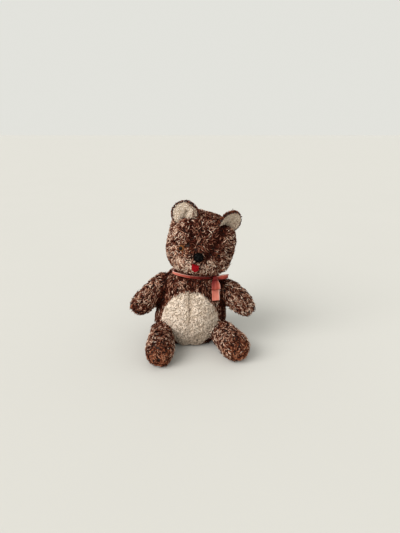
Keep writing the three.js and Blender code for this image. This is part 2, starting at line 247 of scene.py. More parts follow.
def window_light():
    lamp = bpy.data.lights.new("window", "SUN")
    lamp.angle = WINDOW_SPREAD
    lamp.energy = WINDOW_POWER
    lamp.color = (1.0, 0.98, 0.95)
    add_object("window", lamp).rotation_euler = WINDOW_FROM.to_track_quat("Z", "Y").to_euler()


def room_light(colour):
    room = bpy.data.worlds.new("room")
    room.use_nodes = True
    room.node_tree.nodes["Background"].inputs["Color"].default_value = (*colour, 1)
    return room


window_light()
scene.world = room_light((0.765, 0.765, 0.72))
scene.view_settings.view_transform = "Standard"
print("window of", WINDOW_POWER, "W/m2 from", tuple(round(v, 2) for v in WINDOW_FROM.normalized()))

# %% [markdown]
# ## The skin
#
# A soft toy is sewn inside out from flat panels, turned and stuffed, so its skin is one smooth surface that
# dips along each seam. It could be modelled panel by panel, but the edges of neighbours would never quite
# meet. Here the plush nodes are copied into one shape and remeshed together, which closes the gaps along
# the seams and rounds the places where a limb joins. The ears are thin, so each is remeshed on its own with
# a finer step. The panels are found again afterwards: each face belongs to the CAD node that lies nearest
# to it.

# %% Panels
SIDES = ("left", "right")
FLEECE = ["belly_left", "belly_right", "ear_left_lining", "ear_right_lining"]
OTHER_THAN_SKIN = ("filling", "washer", "eye_left", "eye_right", "nose", "tongue", "ribbon")
PANELS = [name for name in sorted(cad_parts) if not name.endswith(OTHER_THAN_SKIN)]
FILLINGS = [name for name in sorted(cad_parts) if name.endswith("filling")]
EAR_PANELS = {side: [f"ear_{side}_back", f"ear_{side}_lining"] for side in SIDES}
BODY_PANELS = [name for name in PANELS if not name.startswith("ear_")]
BODY_VOXEL = 2.0 * MM
EAR_VOXEL = 1.0 * MM
print("panels:", len(PANELS), "fillings:", len(FILLINGS))


# %% Remeshing helpers
def merged_copy(names):
    """One loose shape made of copies of CAD nodes, with their doubled corners merged."""
    shape = bmesh.new()
    for name in names:
        shape.from_mesh(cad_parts[name].data)
    bmesh.ops.remove_doubles(shape, verts=shape.verts, dist=0.001 * MM)
    return shape


def mesh_from(shape, name):
    """A shape as a plain mesh. The shape itself is let go."""
    mesh = bpy.data.meshes.new(name)
    shape.to_mesh(mesh)
    shape.free()
    return mesh


def plain_result(made, name):
    """The evaluated form of an object as a plain mesh. The object itself is removed."""
    evaluated = made.evaluated_get(bpy.context.evaluated_depsgraph_get())
    result = bpy.data.meshes.new_from_object(evaluated)
    result.name = name
    bpy.data.objects.remove(made)
    return result


def shade_smooth(mesh):
    for polygon in mesh.polygons:
        polygon.use_smooth = True


def largest_island(shape):
    """The points of the largest connected part of a shape."""
    largest = set()
    waiting = set(shape.verts)
    while waiting:
        island = {waiting.pop()}
        front = list(island)
        while front:
            vertex = front.pop()
            fresh = {link.other_vert(vertex) for link in vertex.link_edges} & waiting
            waiting -= fresh
            island |= fresh
            front.extend(fresh)
        largest = max(largest, island, key=len)
    return largest


def remeshed(names, voxel):
    """One closed form round a few CAD nodes, without the pockets that the remesh leaves inside it."""
    made = add_object("joined", mesh_from(merged_copy(names), "joined"))
    change = made.modifiers.new("Remesh", "REMESH")
    change.mode = "VOXEL"
    change.voxel_size = voxel
    shape = bmesh.new()
    shape.from_mesh(plain_result(made, "joined"))
    kept = largest_island(shape)
    bmesh.ops.delete(shape, geom=[v for v in shape.verts if v not in kept], context="VERTS")
    return mesh_from(shape, "joined")


# %% Which panel each face belongs to
def panels_of(mesh, names):
    """For each face, the place in PANELS of the named CAD node that lies nearest to it."""
    trees = {}
    for name in names:
        shape = merged_copy([name])
        trees[name] = BVHTree.FromBMesh(shape)
        shape.free()

    def nearest(face):
        return min(names, key=lambda name: trees[name].find_nearest(face.center)[3])

    return [PANELS.index(nearest(face)) for face in mesh.polygons]


whole = bmesh.new()
face_panel = []
parts = [(BODY_PANELS, FILLINGS, BODY_VOXEL)] + [(names, [], EAR_VOXEL) for names in EAR_PANELS.values()]
for names, inside, voxel in parts:
    part = remeshed(names + inside, voxel)
    face_panel += panels_of(part, names)
    whole.from_mesh(part)
form = mesh_from(whole, "bear_form")
face_panel = np.array(face_panel)
for index, name in enumerate(PANELS):
    print(f"{name:18s} {np.sum(face_panel == index):5d} faces")


# %% Arrays
def rows_of(items, field, width, kind=float):
    """One field of every item of a mesh, as an array with a row for each item."""
    flat = np.empty(len(items) * width, dtype=kind)
    items.foreach_get(field, flat)
    return flat.reshape(-1, width)


def points_of(mesh):
    return rows_of(mesh.vertices, "co", 3)


def normals_of(mesh):
    return rows_of(mesh.vertex_normals, "vector", 3)


def edges_of(mesh):
    return rows_of(mesh.edges, "vertices", 2, np.int64)


def set_points(mesh, points):
    mesh.vertices.foreach_set("co", np.ascontiguousarray(points).ravel())
    mesh.update()


def neighbour_mean(values, edges):
    """Each point's mean over its neighbours."""
    total = np.zeros_like(values)
    count = np.zeros(len(values))
    for here, there in ((0, 1), (1, 0)):
        np.add.at(total, edges[:, here], values[edges[:, there]])
        np.add.at(count, edges[:, here], 1)
    share = count if values.ndim == 1 else count[:, None]
    return total / np.maximum(share, 1)


def smoothed(values, edges, rounds):
    """The values after each point has moved half way to its neighbours' mean, a few times over."""
    for _ in range(rounds):
        values = values + 0.5 * (neighbour_mean(values, edges) - values)
    return values


def unit(vectors):
    return vectors / np.maximum(np.linalg.norm(vectors, axis=-1, keepdims=True), 1e-9)


def middle(name):
    """The middle of a CAD node's box."""
    low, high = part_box(name)
    return np.array((low + high) / 2)


# %% [markdown]
# The remeshed form shows small steps, so it is relaxed first. Then each point's distance to the nearest
# seam is measured. Thread pulls the plush in along a seam, so the skin dips there, and the dip fades over a
# few millimetres. The whole skin is also set in by the length of pile that stands on it, because the CAD
# surface lies half way up the pile.


# %% Seams
def seam_points(*among):
    """Points where faces of two panels meet. among keeps only the seams that all these panels share."""
    wanted = {PANELS.index(name) for name in among}
    owner = {}
    found = set()
    for face in form.polygons:
        panel = face_panel[face.index]
        for vertex in face.vertices:
            first = owner.setdefault(vertex, panel)
            if first != panel and wanted <= {first, panel}:
                found.add(vertex)
    return sorted(found)


def distance_to(points, targets):
    tree = KDTree(len(targets))
    for index, target in enumerate(targets):
        tree.insert(target, index)
    tree.balance()
    return np.array([tree.find(point)[2] for point in points])


def fading(distance, reach):
    """1 at no distance, falling smoothly to 0 past the reach."""
    return np.exp(-((distance / reach) ** 2))


def point_share(names):
    """1 at points of these panels, 0 elsewhere, softened across the border."""
    chosen = np.isin(face_panel, [PANELS.index(name) for name in names])
    share = np.zeros(len(form.vertices))
    for face in form.polygons:
        if chosen[face.index]:
            share[list(face.vertices)] = 1
    return smoothed(share, edges, 2)


SEAM_WIDTH = 2.6 * MM
edges = edges_of(form)
places = smoothed(points_of(form), edges, 6)
seam_share = fading(distance_to(places, places[seam_points()]), SEAM_WIDTH)
gusset_distance = distance_to(places, places[seam_points("head_gusset")])
on_ears = point_share([name for name in PANELS if name.startswith("ear_")])
on_fleece = point_share(FLEECE)
on_lining = point_share(["ear_left_lining", "ear_right_lining"])
on_head = point_share([name for name in PANELS if name.startswith("head_")])
print("points near a seam:", int(np.sum(seam_share > 0.5)))

# %% [markdown]
# Stuffing is never even, so the skin is lumpy at a scale of a centimetre or so. Each ear also has a crease
# where it was squashed for years, and its open base runs on into the head.

# %% Set in, dipped and lumpy
PLUSH_INSET = 2.7 * MM
FLEECE_INSET = 1.2 * MM
EAR_INSET = 0.8 * MM
SEAM_DIP = 1.0 * MM
LUMP_SIZE = 13 * MM
LUMP_HEIGHT = 0.7 * MM
EAR_ROOT = 5.0 * MM  # how far an ear's open base runs on into the head
EAR_ROOT_REACH = 2.5 * MM  # over what distance that fades away from the head
SKIN_CLEARANCE = 0.6 * MM  # how far the skin stays above the floor
CREASE_WIDTH = 1.7 * MM
CREASES = [  # in the lining: start from its middle, way, length and depth, in millimetres
    ("ear_right_lining", (1.5, 0, 1.0), (-0.55, 0, -0.83), 10, 3.2),
    ("ear_left_lining", (-3.0, 0, 2.0), (-0.25, 0, -0.97), 9, 2.6),
]


def lumps(points, size, seed):
    """Smooth noise from -1 to 1 at each point."""
    shifted = points / size + seed
    return np.array([noise.noise(Vector(point)) for point in shifted])


def crease_share(points, start, way, length, width):
    """1 along a line from a start, falling to 0 beside it and past its end."""
    away = points - start
    along = np.clip(away @ way, 0, length)
    return fading(np.linalg.norm(away - along[:, None] * way, axis=1), width)


set_points(form, places)
normals = normals_of(form)
inset = PLUSH_INSET + (FLEECE_INSET - PLUSH_INSET) * on_fleece
inset += (EAR_INSET - inset) * on_ears
inset += SEAM_DIP * seam_share * (1 - 0.6 * on_ears)
inset -= LUMP_HEIGHT * lumps(places, LUMP_SIZE, 7.3) * (1 - 0.4 * on_ears)
# The crease mask below also paints shade into each crease.
painted_crease_shade = np.zeros(len(places))
for name, offset, way, length, depth in CREASES:
    start = middle(name) + np.array(offset) * MM
    share = crease_share(places, start, unit(np.array(way)), length * MM, CREASE_WIDTH) * on_lining
    painted_crease_shade = np.maximum(painted_crease_shade, share)
    inset += depth * MM * share

skull = on_head > 0.5
root_share = np.zeros(len(places))
ears = on_ears > 0.5
root_share[ears] = np.clip(1.4 - distance_to(places[ears], places[skull]) / EAR_ROOT_REACH, 0, 1)
inward = unit(middle("head_filling") - places)
places = places - normals * inset[:, None] + inward * (EAR_ROOT * root_share)[:, None]
places[:, 2] = np.maximum(places[:, 2], SKIN_CLEARANCE)
places = smoothed(places, edges, 1)
set_points(form, places)
normals = normals_of(form)
print("skin height in mm:", round(places[:, 2].max() / MM, 1))

# %% [markdown]
# ## How the pile lies
#
# Pile isn't the same all over. It is longest on the head, short on the feet, worn near one paw, and it
# parts at each seam. These facts are kept as values on the skin's points: `short` cuts the length, `bare`
# thins it out, `tone` runs from dark at 0 to pale at 1, `rust` is the share of locks that show the second
# dye, rust on the plush where the frosting has worn off, and `comb` is the way the pile leans. `tone` and
# `rust` also hold painted light and shade: darker in folds, on undersides, on the chest, in ear creases and
# in the left eye's hollow, paler on the side towards the light. The numbers could be painted by hand, but
# distances from a few landmarks are easier to read and to change.

# %% Landmarks
def near(target, reach):
    """1 at a landmark, falling to 0 past its reach, for each point of the skin."""
    return fading(np.linalg.norm(places - np.asarray(target), axis=1), reach)


def beside(landmark, *step):
    """A place a few millimetres from a landmark: to its left, back and up."""
    return landmark + np.array(step) * MM


NOSE = beside(middle("nose"), 0, -9, 1)
EYES = {side: beside(middle(f"eye_{side}"), 0, -5, 0) for side in SIDES}
TONGUE = middle("tongue")
SHOULDERS = {"left": np.array([26, 22, 68]) * MM, "right": np.array([-22, 22, 75]) * MM}
PAWS = {"left": np.array([65, 4, 44]) * MM, "right": np.array([-68, 3, 40]) * MM}
FEET = {side: middle(f"leg_{side}_sole") for side in SIDES}
HIPS = {"left": np.array([23, 20, 20]) * MM, "right": np.array([-34, 18, 20]) * MM}
on_arm = {side: point_share([f"arm_{side}_front", f"arm_{side}_back"]) for side in SIDES}
on_leg = {side: point_share([f"leg_{side}_inner", f"leg_{side}_outer", f"leg_{side}_sole"]) for side in SIDES}
on_sole = point_share(["leg_left_sole", "leg_right_sole"])
print("nose at", np.round(NOSE / MM, 1), "eyes at", {k: np.round(v / MM, 1) for k, v in EYES.items()})

# %% Which way it leans
comb = np.tile([0.0, -0.15, -1.0], (len(places), 1))
comb += on_head[:, None] * (1.6 * unit(places - NOSE) + np.array([0, 0, -0.2]))
for side in SIDES:
    comb += on_arm[side][:, None] * 2.5 * unit(PAWS[side] - SHOULDERS[side])
    comb += on_leg[side][:, None] * 2.2 * unit(FEET[side] - HIPS[side])
comb += on_ears[:, None] * np.array([0, 0, 1.6])
for eye in EYES.values():
    comb += 5 * near(eye, 5 * MM)[:, None] * unit(places - eye)
comb = unit(comb)

# %% How pale and how rusty it is, with painted light and shade
FOLD_REACH = 16 * MM
EAR_RIM = 7.8  # mm from the middle of the right ear's lining to where brown plush wraps over its edge
LININGS_PART = 15 * MM  # the right ear's lining lies below this along X, and the left one's above
skin_faces = [tuple(face.vertices) for face in form.polygons]
skin_tree = BVHTree.FromPolygons([Vector(place) for place in places], skin_faces)


def free_distance(place, way):
    """How far it is from a point of the skin to whatever faces it, up to FOLD_REACH."""
    hit = skin_tree.ray_cast(Vector(place + way * 1.5 * MM), Vector(way), FOLD_REACH)[3]
    return FOLD_REACH if hit is None else hit


rusty_feet = np.clip(on_sole + sum(near(FEET[side], 14 * MM) for side in SIDES), 0, 1)
worn_paw = near(beside(PAWS["right"], 4, -8, 2), 8 * MM)
eye_patch = np.clip(near(beside(EYES["right"], 2, 0, -1), 9 * MM) + 0.5 * near(EYES["left"], 6 * MM), 0, 1)
brow = near(beside(NOSE, 2, 7, 8), 7.5 * MM)
# The cheeks are paler plush; the one on the bear's right, towards the light, is painted paler still: painted
# light.
pale_and_lit_cheeks = near(beside(NOSE, -16, 7, -9), 15 * MM) + 0.6 * near(beside(NOSE, 12, 4, -12), 13 * MM)
pale_temple = near(beside(EYES["right"], -8, 8, 14), 14 * MM)
plush_seam = seam_share * (1 - on_fleece) * (1 - on_head)
gusset_seam = fading(gusset_distance, 3.1 * MM) * on_head * (1 - pale_and_lit_cheeks.clip(0, 1))
# Faces that turn down get more rust, as the undersides have, and a darker tone, which is painted shade.
underside_rust_and_shade = np.clip(-normals[:, 2], 0, 1)
# Painted shade: the pile is darker where another part of the bear faces the skin close by, in folds and
# between parts.
painted_fold_shade = 1 - np.array([free_distance(place, way) for place, way in zip(places, normals)]) / FOLD_REACH

rust = 0.07 + 0.18 * lumps(places, 15 * MM, 9.4) + 0.5 * plush_seam + 0.5 * gusset_seam + 0.25 * underside_rust_and_shade
rust += 0.6 * rusty_feet + 0.5 * worn_paw + 0.75 * eye_patch + 0.5 * brow + 0.8 * on_ears - 0.5 * pale_and_lit_cheeks
# The lower edge of the left ear's lining turns brown: dirt, and painted shade there.
ear_dirt_and_shade = near(beside(middle("ear_left_lining"), 7, 0, -7), 7 * MM) * on_lining
from_ear = (places - middle("ear_right_lining")) / MM
brown_rim = np.clip(np.hypot(from_ear[:, 0], from_ear[:, 2]) - EAR_RIM, 0, 1) * (on_lining > 0)
brown_rim *= np.clip((from_ear[:, 0] - 1) / 4, 0, 1) * (from_ear[:, 0] < 20)
rust = np.clip(rust * (1 - on_fleece) + 0.9 * ear_dirt_and_shade + brown_rim, 0, 1)

on_chest = point_share(["chest_left", "chest_right"])
# The chest's darker tone is painted shade under the head.
tone = 0.48 + 0.12 * lumps(places, 11 * MM, 3.1) - 0.16 * on_chest - 0.14 * point_share(["head_gusset"])
tone -= 0.05 * on_leg["right"] + 0.03 * on_leg["left"] + 0.07 * on_arm["right"] - 0.03 * on_arm["left"]
tone += 0.7 * pale_and_lit_cheeks + 0.2 * pale_temple
tone -= 0.25 * plush_seam + 0.7 * gusset_seam + 0.06 * underside_rust_and_shade + 0.55 * painted_fold_shade
# Painted shade in the hollow round the sunken left eye.
painted_eye_hollow_shade = near(EYES["left"], 5.5 * MM)
for share, level in ((rusty_feet, 0.58), (worn_paw, 0.15), (eye_patch, 0.55), (brow, 0.15), (painted_eye_hollow_shade, 0.1)):
    tone += (level - tone) * 0.85 * share
tone += (0.30 - tone) * 0.8 * on_ears * (1 - on_lining)
belly_seam = distance_to(places, places[seam_points("belly_left", "belly_right")])
belly_seam = fading(belly_seam, 1.5 * MM) * np.clip((places[:, 2] - 28 * MM) / (12 * MM), 0, 1)
# How pale the fleece is: real dirt and seams, painted light on the bear's right towards the light, and
# painted shade with some dirt towards the floor.
clean_and_lit = 0.84 + 0.06 * (places[:, 0] < 0) + 0.12 * lumps(places, 9 * MM, 5.7)
clean_and_lit -= 0.37 * fading(places[:, 2], 26 * MM) + 1.1 * belly_seam
# Painted light and shade: the right ear's lining, towards the light, is paler, and the left one's darker.
painted_ear_light_and_shade = on_lining * np.where(places[:, 0] < LININGS_PART, 0.2, -0.2)
# Painted shade darkens the linings in their creases and in folds.
clean_and_lit += painted_ear_light_and_shade - 0.6 * painted_crease_shade - 0.3 * painted_fold_shade - 0.7 * brown_rim
tone = np.clip(tone + (clean_and_lit - tone) * on_fleece, 0.02, 0.98)

# %% How long and how dense it is
short = 0.32 * seam_share + 0.3 * rusty_feet + 0.4 * worn_paw + 0.35 * near(NOSE, 11 * MM)
short += 0.55 * near(beside(TONGUE, 0, -4, 0), 8 * MM) + 0.35 * eye_patch + 0.42 * on_ears
short = np.clip(short + 0.5 * belly_seam, 0, 0.85)

bare = near(EYES["right"], 3.2 * MM) + near(EYES["left"], 1.8 * MM)
bare = np.clip(bare + near(beside(NOSE, 0, 6, 0), 4.5 * MM) + 0.2 * worn_paw, 0, 1)
underneath = (normals[:, 2] < -0.8) & (places[:, 2] < 3 * MM)
bare = np.where(underneath, 0.7, bare)
print("mean tone:", round(float(tone.mean()), 2), "mean shortening:", round(float(short.mean()), 2))


# %% Cut the skin into its panels
def store(mesh, name, values):
    kind = "FLOAT" if values.ndim == 1 else "FLOAT_VECTOR"
    field = "value" if values.ndim == 1 else "vector"
    attribute = mesh.attributes.new(name, kind, "POINT")
    attribute.data.foreach_set(field, np.ascontiguousarray(values, dtype=np.float32).ravel())


def panel_mesh(name):
    """One panel of the skin as an open sheet, with the values that its pile needs."""
    faces = [skin_faces[index] for index in np.flatnonzero(face_panel == PANELS.index(name))]
    kept = sorted({vertex for face in faces for vertex in face})
    renumbered = {old: new for new, old in enumerate(kept)}
    mesh = bpy.data.meshes.new(name)
    mesh.from_pydata(places[kept], [], [tuple(renumbered[v] for v in face) for face in faces])
    fields = {"short": short, "bare": bare, "tone": tone, "rust": rust, "comb": comb, "up": normals}
    for label, values in fields.items():
        store(mesh, label, values[kept])
    return mesh


sheets = {name: panel_mesh(name) for name in PANELS}
areas = {name: sum(face.area for face in sheets[name].polygons) / MM**2 for name in PANELS}
print("skin area in mm2:", round(sum(areas.values())))

# %% [markdown]
# ## A tree that grows pile
#
# Under a lens, plush is bundles of fibre that have matted into small locks. Each lock here is one closed
# tapering spike. Hair curves could draw finer fibre, but a toy that may be exported has to be a mesh.
# Geometry Nodes scatter the roots over a panel, put one spike on each, and bend every spike the way its
# root's values say.
#
# Three things make it look like old plush: neighbours lean the same way, tips gather into tufts, and no two
# locks have the same length or shade.
#
# Each lock carries its colour in a map. Up the map lies the way from root to tip. Across it lie the two
# dyes side by side, each from its darkest shade to its palest.

# %% Pile tree: its inputs
PILE_MAP = "OFBake"
SHADE_WIDTH = 0.006  # how wide a lock is on the map, either side of its shade
PILE_CLEARANCE = 0.25 * MM  # how far the pile stays above the floor
VECTOR = "FLOAT_VECTOR"
PILE_INPUTS = {
    "Float": ("Locks per mm2", "Length", "Width", "Lean", "Curl", "Swirl", "Tuft", "Gather", "Tuft tone",
              "Lock tone"),
    "Int": ("Sides", "Rings", "Seed"),
    "Material": ("Material",),
}


def new_tree(name, inputs):
    """A tree that takes a geometry and the inputs of each kind, and gives a geometry."""
    tree = bpy.data.node_groups.new(name, "GeometryNodeTree")
    sockets = [("Geometry", "INPUT", "Geometry")]
    sockets += [(label, "INPUT", kind) for kind, labels in inputs.items() for label in labels]
    sockets += [("Geometry", "OUTPUT", "Geometry")]
    for label, way, kind in sockets:
        tree.interface.new_socket(name=label, in_out=way, socket_type=f"NodeSocket{kind}")
    return tree


class PileMaker(Maker):
    """A Maker for a tree that grows pile. given holds the tree's own inputs."""

    def __init__(self, tree):
        super().__init__(tree)
        self.given = {socket.name: socket for socket in tree.nodes.new("NodeGroupInput").outputs}

    def named(self, name, kind="FLOAT"):
        made = self.node("GeometryNodeInputNamedAttribute", {"Name": name}, data_type=kind)
        return next(socket for socket in made.outputs if socket.name == "Attribute" and socket.enabled)

    def keep(self, geometry, name, value, kind="FLOAT", domain="POINT"):
        sources = {"Geometry": geometry, "Name": name, "Value": value}
        made = self.node("GeometryNodeStoreNamedAttribute", sources, data_type=kind, domain=domain)
        return made.outputs["Geometry"]

    def chance(self, step, low, high, kind="FLOAT"):
        """A random value for each point. Each use adds a step of its own to the seed."""
        sources = {"Min": low, "Max": high, "Seed": self.plus(self.given["Seed"], step)}
        made = self.node("FunctionNodeRandomValue", sources, data_type=kind)
        return next(socket for socket in made.outputs if socket.enabled)

    def along_surface(self, vector, up):
        """The part of a vector that lies along the surface."""
        share = self.vector("DOT_PRODUCT", vector, up)
        return self.vector("SUBTRACT", vector, self.scaled(up, share))


# %% Pile tree: the way each lock lies, and its shade
def lay_of_locks(make, place, up):
    """The skin's comb, with a swirl that neighbours share and a little chance."""
    scale = make.number("DIVIDE", 0.45, make.given["Tuft"])
    swirl = make.noise(make.scaled(place, 1 / MM), scale, 2.0, output="Color")
    swirl = make.vector("SUBTRACT", swirl, (0.5, 0.5, 0.5))
    swirl = make.scaled(swirl, make.times(make.given["Swirl"], 6.0))
    jitter = make.scaled(make.chance(3, (-1, -1, -1), (1, 1, 1), VECTOR), 0.35)
    lay = make.added(make.named("comb", VECTOR), make.added(swirl, jitter))
    return make.vector("NORMALIZE", make.along_surface(lay, up))


def place_across_map(make, from_tuft):
    """A lock's shade, moved on to the second dye if it is drawn under the rust share, which also carries
    painted shade. Tufts are palest at their middles.
    """
    tuft = make.times(make.minus(0.9, make.times(from_tuft, 2.0)), make.given["Tuft tone"])
    steady = make.spread(make.named("rust"), 1.0, 0.45)
    fair = make.number("MINIMUM", make.times(make.named("tone"), 2.8), 1.0)
    own = make.times(make.chance(5, -0.5, 0.5), make.given["Lock tone"], steady, fair)
    shade = make.plus(make.named("tone"), make.plus(tuft, own))
    shade = make.node("ShaderNodeClamp", [shade, 0.03, 0.97]).outputs[0]
    second_dye_lock = make.number("LESS_THAN", make.chance(11, 0.15, 0.85), make.named("rust"))
    return make.times(make.plus(shade, second_dye_lock), 0.5)


# %% Pile tree: roots and what each one knows
def scatter_roots(make):
    """Spread roots over the panel, and note on each what its lock needs."""
    density = make.times(make.given["Locks per mm2"], 1 / MM**2)
    sources = {
        "Mesh": make.given["Geometry"],
        "Distance Min": make.number("DIVIDE", 0.62, make.number("SQRT", density)),
        "Density Max": make.times(density, 1.6),
        "Density Factor": make.minus(1.0, make.named("bare")),
        "Seed": make.given["Seed"],
    }
    scattered = make.node("GeometryNodeDistributePointsOnFaces", sources, distribute_method="POISSON")
    points = scattered.outputs["Points"]
    place = make.node("GeometryNodeInputPosition").outputs[0]
    up = make.vector("NORMALIZE", make.named("up", VECTOR))
    sources = {"Vector": make.scaled(place, 1 / MM), "Scale": make.number("DIVIDE", 1.0, make.given["Tuft"])}
    tufts = make.node("ShaderNodeTexVoronoi", sources).outputs
    to_tuft = make.vector("SUBTRACT", make.scaled(tufts["Position"], MM), place)
    vectors = {"root": place, "rise": up, "lay": lay_of_locks(make, place, up),
               "gather": make.along_surface(to_tuft, up)}
    for name, vector in vectors.items():
        points = make.keep(points, name, vector, VECTOR)
    reach = make.times(make.minus(1.0, make.named("short")), make.chance(7, 0.7, 1.15))
    numbers = {"across": place_across_map(make, tufts["Distance"]),
               "reach": make.times(reach, make.given["Length"]),
               "phase": make.chance(9, 0.0, 6.28)}
    for name, number in numbers.items():
        points = make.keep(points, name, number)
    return points


# %% Pile tree: one spike on each root
def plant_spikes(make, points):
    """A narrow cone on each root. Its height and its way round are noted before it is bent."""
    sources = {"Vertices": make.given["Sides"], "Side Segments": make.given["Rings"], "Radius Top": 0.0,
               "Radius Bottom": 1.0, "Depth": 1.0}
    cone = make.node("GeometryNodeMeshCone", sources, fill_type="NGON").outputs["Mesh"]
    parts = make.apart(make.node("GeometryNodeInputPosition").outputs[0])
    cone = make.keep(cone, "height", parts["Z"])
    around = make.vector("NORMALIZE", make.joined(parts["X"], parts["Y"], 0.0))
    cone = make.keep(cone, "around", around, VECTOR)
    planted = make.node("GeometryNodeInstanceOnPoints", {"Points": points, "Instance": cone})
    return make.node("GeometryNodeRealizeInstances", [planted.outputs["Instances"]]).outputs["Geometry"]


# %% Pile tree: bend each spike
def bend_spikes(make, locks):
    """Each ring moves to its place on a bent middle line, and its corners stand square to that line."""
    lean = make.given["Lean"]
    height = make.named("height")
    squared = make.times(height, height)
    reach = make.named("reach")
    up = make.named("rise", VECTOR)
    lay = make.named("lay", VECTOR)
    across = make.vector("NORMALIZE", make.vector("CROSS_PRODUCT", up, lay))

    climb = make.minus(height, make.times(lean, 0.62, squared))
    slide = make.times(lean, make.times(make.plus(height, squared), 0.5))
    turn = make.plus(make.times(height, 4.2), make.named("phase"))
    curl = make.times(make.given["Curl"], height)
    wave = make.times(make.number("SINE", turn), curl)
    sway = make.times(make.number("COSINE", turn), curl)
    line = make.added(make.scaled(up, make.times(climb, reach)),
                      make.scaled(lay, make.times(make.plus(slide, sway), reach)),
                      make.scaled(across, make.times(wave, reach)),
                      make.scaled(make.named("gather", VECTOR), make.times(make.given["Gather"], squared)))

    ahead = make.added(make.scaled(up, make.minus(1.0, make.times(lean, height))),
                       make.scaled(lay, make.times(lean, make.plus(height, 0.5))))
    second = make.vector("CROSS_PRODUCT", make.vector("NORMALIZE", ahead), across)
    second = make.vector("NORMALIZE", second)
    taper = make.number("SQRT", make.number("MAXIMUM", make.minus(1.0, height), 0.0))
    swell = make.plus(0.6, make.times(height, 1.1))
    girth = make.times(taper, swell, make.times(make.given["Width"], 0.5))
    around = make.apart(make.named("around", VECTOR))
    ring = make.added(make.scaled(across, make.times(around["X"], girth)),
                      make.scaled(second, make.times(around["Y"], girth)))

    place = make.apart(make.added(make.named("root", VECTOR), make.added(line, ring)))
    above = make.number("MAXIMUM", place["Z"], PILE_CLEARANCE)
    sources = {"Geometry": locks, "Position": make.joined(place["X"], place["Y"], above)}
    return make.node("GeometryNodeSetPosition", sources).outputs["Geometry"]


# %% Pile tree: put together
def pile_tree():
    tree = new_tree("pile", PILE_INPUTS)
    make = PileMaker(tree)
    locks = bend_spikes(make, plant_spikes(make, scatter_roots(make)))
    side = make.apart(make.named("around", VECTOR))["X"]
    across = make.plus(make.named("across"), make.times(side, SHADE_WIDTH))
    chart = make.joined(across, make.named("height"), 0.0)
    locks = make.keep(locks, PILE_MAP, chart, "FLOAT2", "CORNER")
    locks = make.node("GeometryNodeSetShadeSmooth", {"Geometry": locks}).outputs["Geometry"]
    sources = {"Geometry": locks, "Material": make.given["Material"]}
    locks = make.node("GeometryNodeSetMaterial", sources).outputs["Geometry"]
    tree.links.new(locks, tree.nodes.new("NodeGroupOutput").inputs[0])
    return tree


PILE = pile_tree()
print("the pile tree has", len(PILE.nodes), "nodes")

# %% [markdown]
# The tree works on a panel through a modifier. A modifier's input is set by the identifier of its socket,
# so a small helper looks those up by name. The result is then turned into a plain mesh, and only the map
# stays on it.


# %% Growing pile on a sheet
PILE_NOTES = ("root", "rise", "lay", "gather", "across", "reach", "phase", "height", "around",
              "short", "bare", "tone", "rust", "comb", "up")


def set_inputs(modifier, values):
    for item in modifier.node_group.interface.items_tree:
        if item.item_type == "SOCKET" and item.in_out == "INPUT" and item.name in values:
            modifier[item.identifier] = values[item.name]


def grow(name, sheet, values):
    """The pile of one sheet as a plain mesh object at the origin."""
    made = add_object(name, sheet)
    modifier = made.modifiers.new("Pile", "NODES")
    modifier.node_group = PILE
    set_inputs(modifier, values)
    mesh = plain_result(made, name)
    for label in [item.name for item in mesh.attributes if item.name in PILE_NOTES]:
        mesh.attributes.remove(mesh.attributes[label])
    return add_object(name, mesh)


# %% [markdown]
# ## What the pile is coloured with
#
# Frosted plush is dyed twice: the whole pile dark brown, then only the tips paler. Where the frosting has
# worn off, the locks are rust. The fleece's second dye is the plush's own, for brown edges, dirt and painted
# shade.
# A dye is three ramps from its darkest shade to its palest, for the roots, the middles and the tips, and
# the height on the map says how they mix. A picture could hold the same thing, but ramps say it exactly and
# are easy to retint.


# %% Pile material
def dye_colour(make, dye, shade, low, high):
    """The colour of one dye. dye holds the ramps for roots, middles and tips."""
    roots, middles, tips = [make.ramp(shade, stops) for stops in dye]
    return make.mix(high, make.mix(low, roots, middles), tips)


def pile_material(name, dyes, turn):
    """One or two dyes side by side on the map. turn holds three heights: where the middles have taken over
    from the roots, and where the tips start to take over and have done so."""
    make = Surface(name, Specular_IOR_Level=0.05)
    chart = make.apart(make.chart(PILE_MAP))
    height = chart["Y"]
    second = make.number("GREATER_THAN", chart["X"], 0.5)
    shade = make.minus(make.times(chart["X"], 2.0), second)
    low, high = [make.node("ShaderNodeMapRange", {"Value": height, "From Min": start, "From Max": end},
                           interpolation_type="SMOOTHSTEP").outputs["Result"]
                 for start, end in ((0.0, turn[0]), (turn[1], turn[2]))]
    colours = [dye_colour(make, dye, shade, low, high) for dye in dyes]
    colour = colours[0] if len(dyes) == 1 else make.mix(second, *colours)
    make.shade(Base_Color=colour, Roughness=make.spread(height, 0.95, 0.7))
    return make.material


# %% Plush and fleece
FROSTED = [
    [(0.0, (0.010, 0.002, 0.002)), (1.0, (0.034, 0.007, 0.004))],
    [(0.0, (0.020, 0.004, 0.002)), (0.5, (0.090, 0.018, 0.010)), (0.8, (0.27, 0.100, 0.060)),
     (1.0, (0.60, 0.42, 0.31))],
    [(0.0, (0.030, 0.005, 0.003)), (0.3, (0.130, 0.030, 0.016)), (0.6, (0.46, 0.240, 0.155)),
     (1.0, (0.93, 0.735, 0.59))],
]
RUST = [
    [(0.0, (0.008, 0.003, 0.002)), (1.0, (0.030, 0.009, 0.005))],
    [(0.0, (0.016, 0.004, 0.003)), (0.5, (0.090, 0.023, 0.012)), (1.0, (0.26, 0.088, 0.043))],
    [(0.0, (0.024, 0.006, 0.003)), (0.35, (0.14, 0.036, 0.017)), (0.7, (0.40, 0.140, 0.070)),
     (1.0, (0.66, 0.36, 0.22))],
]
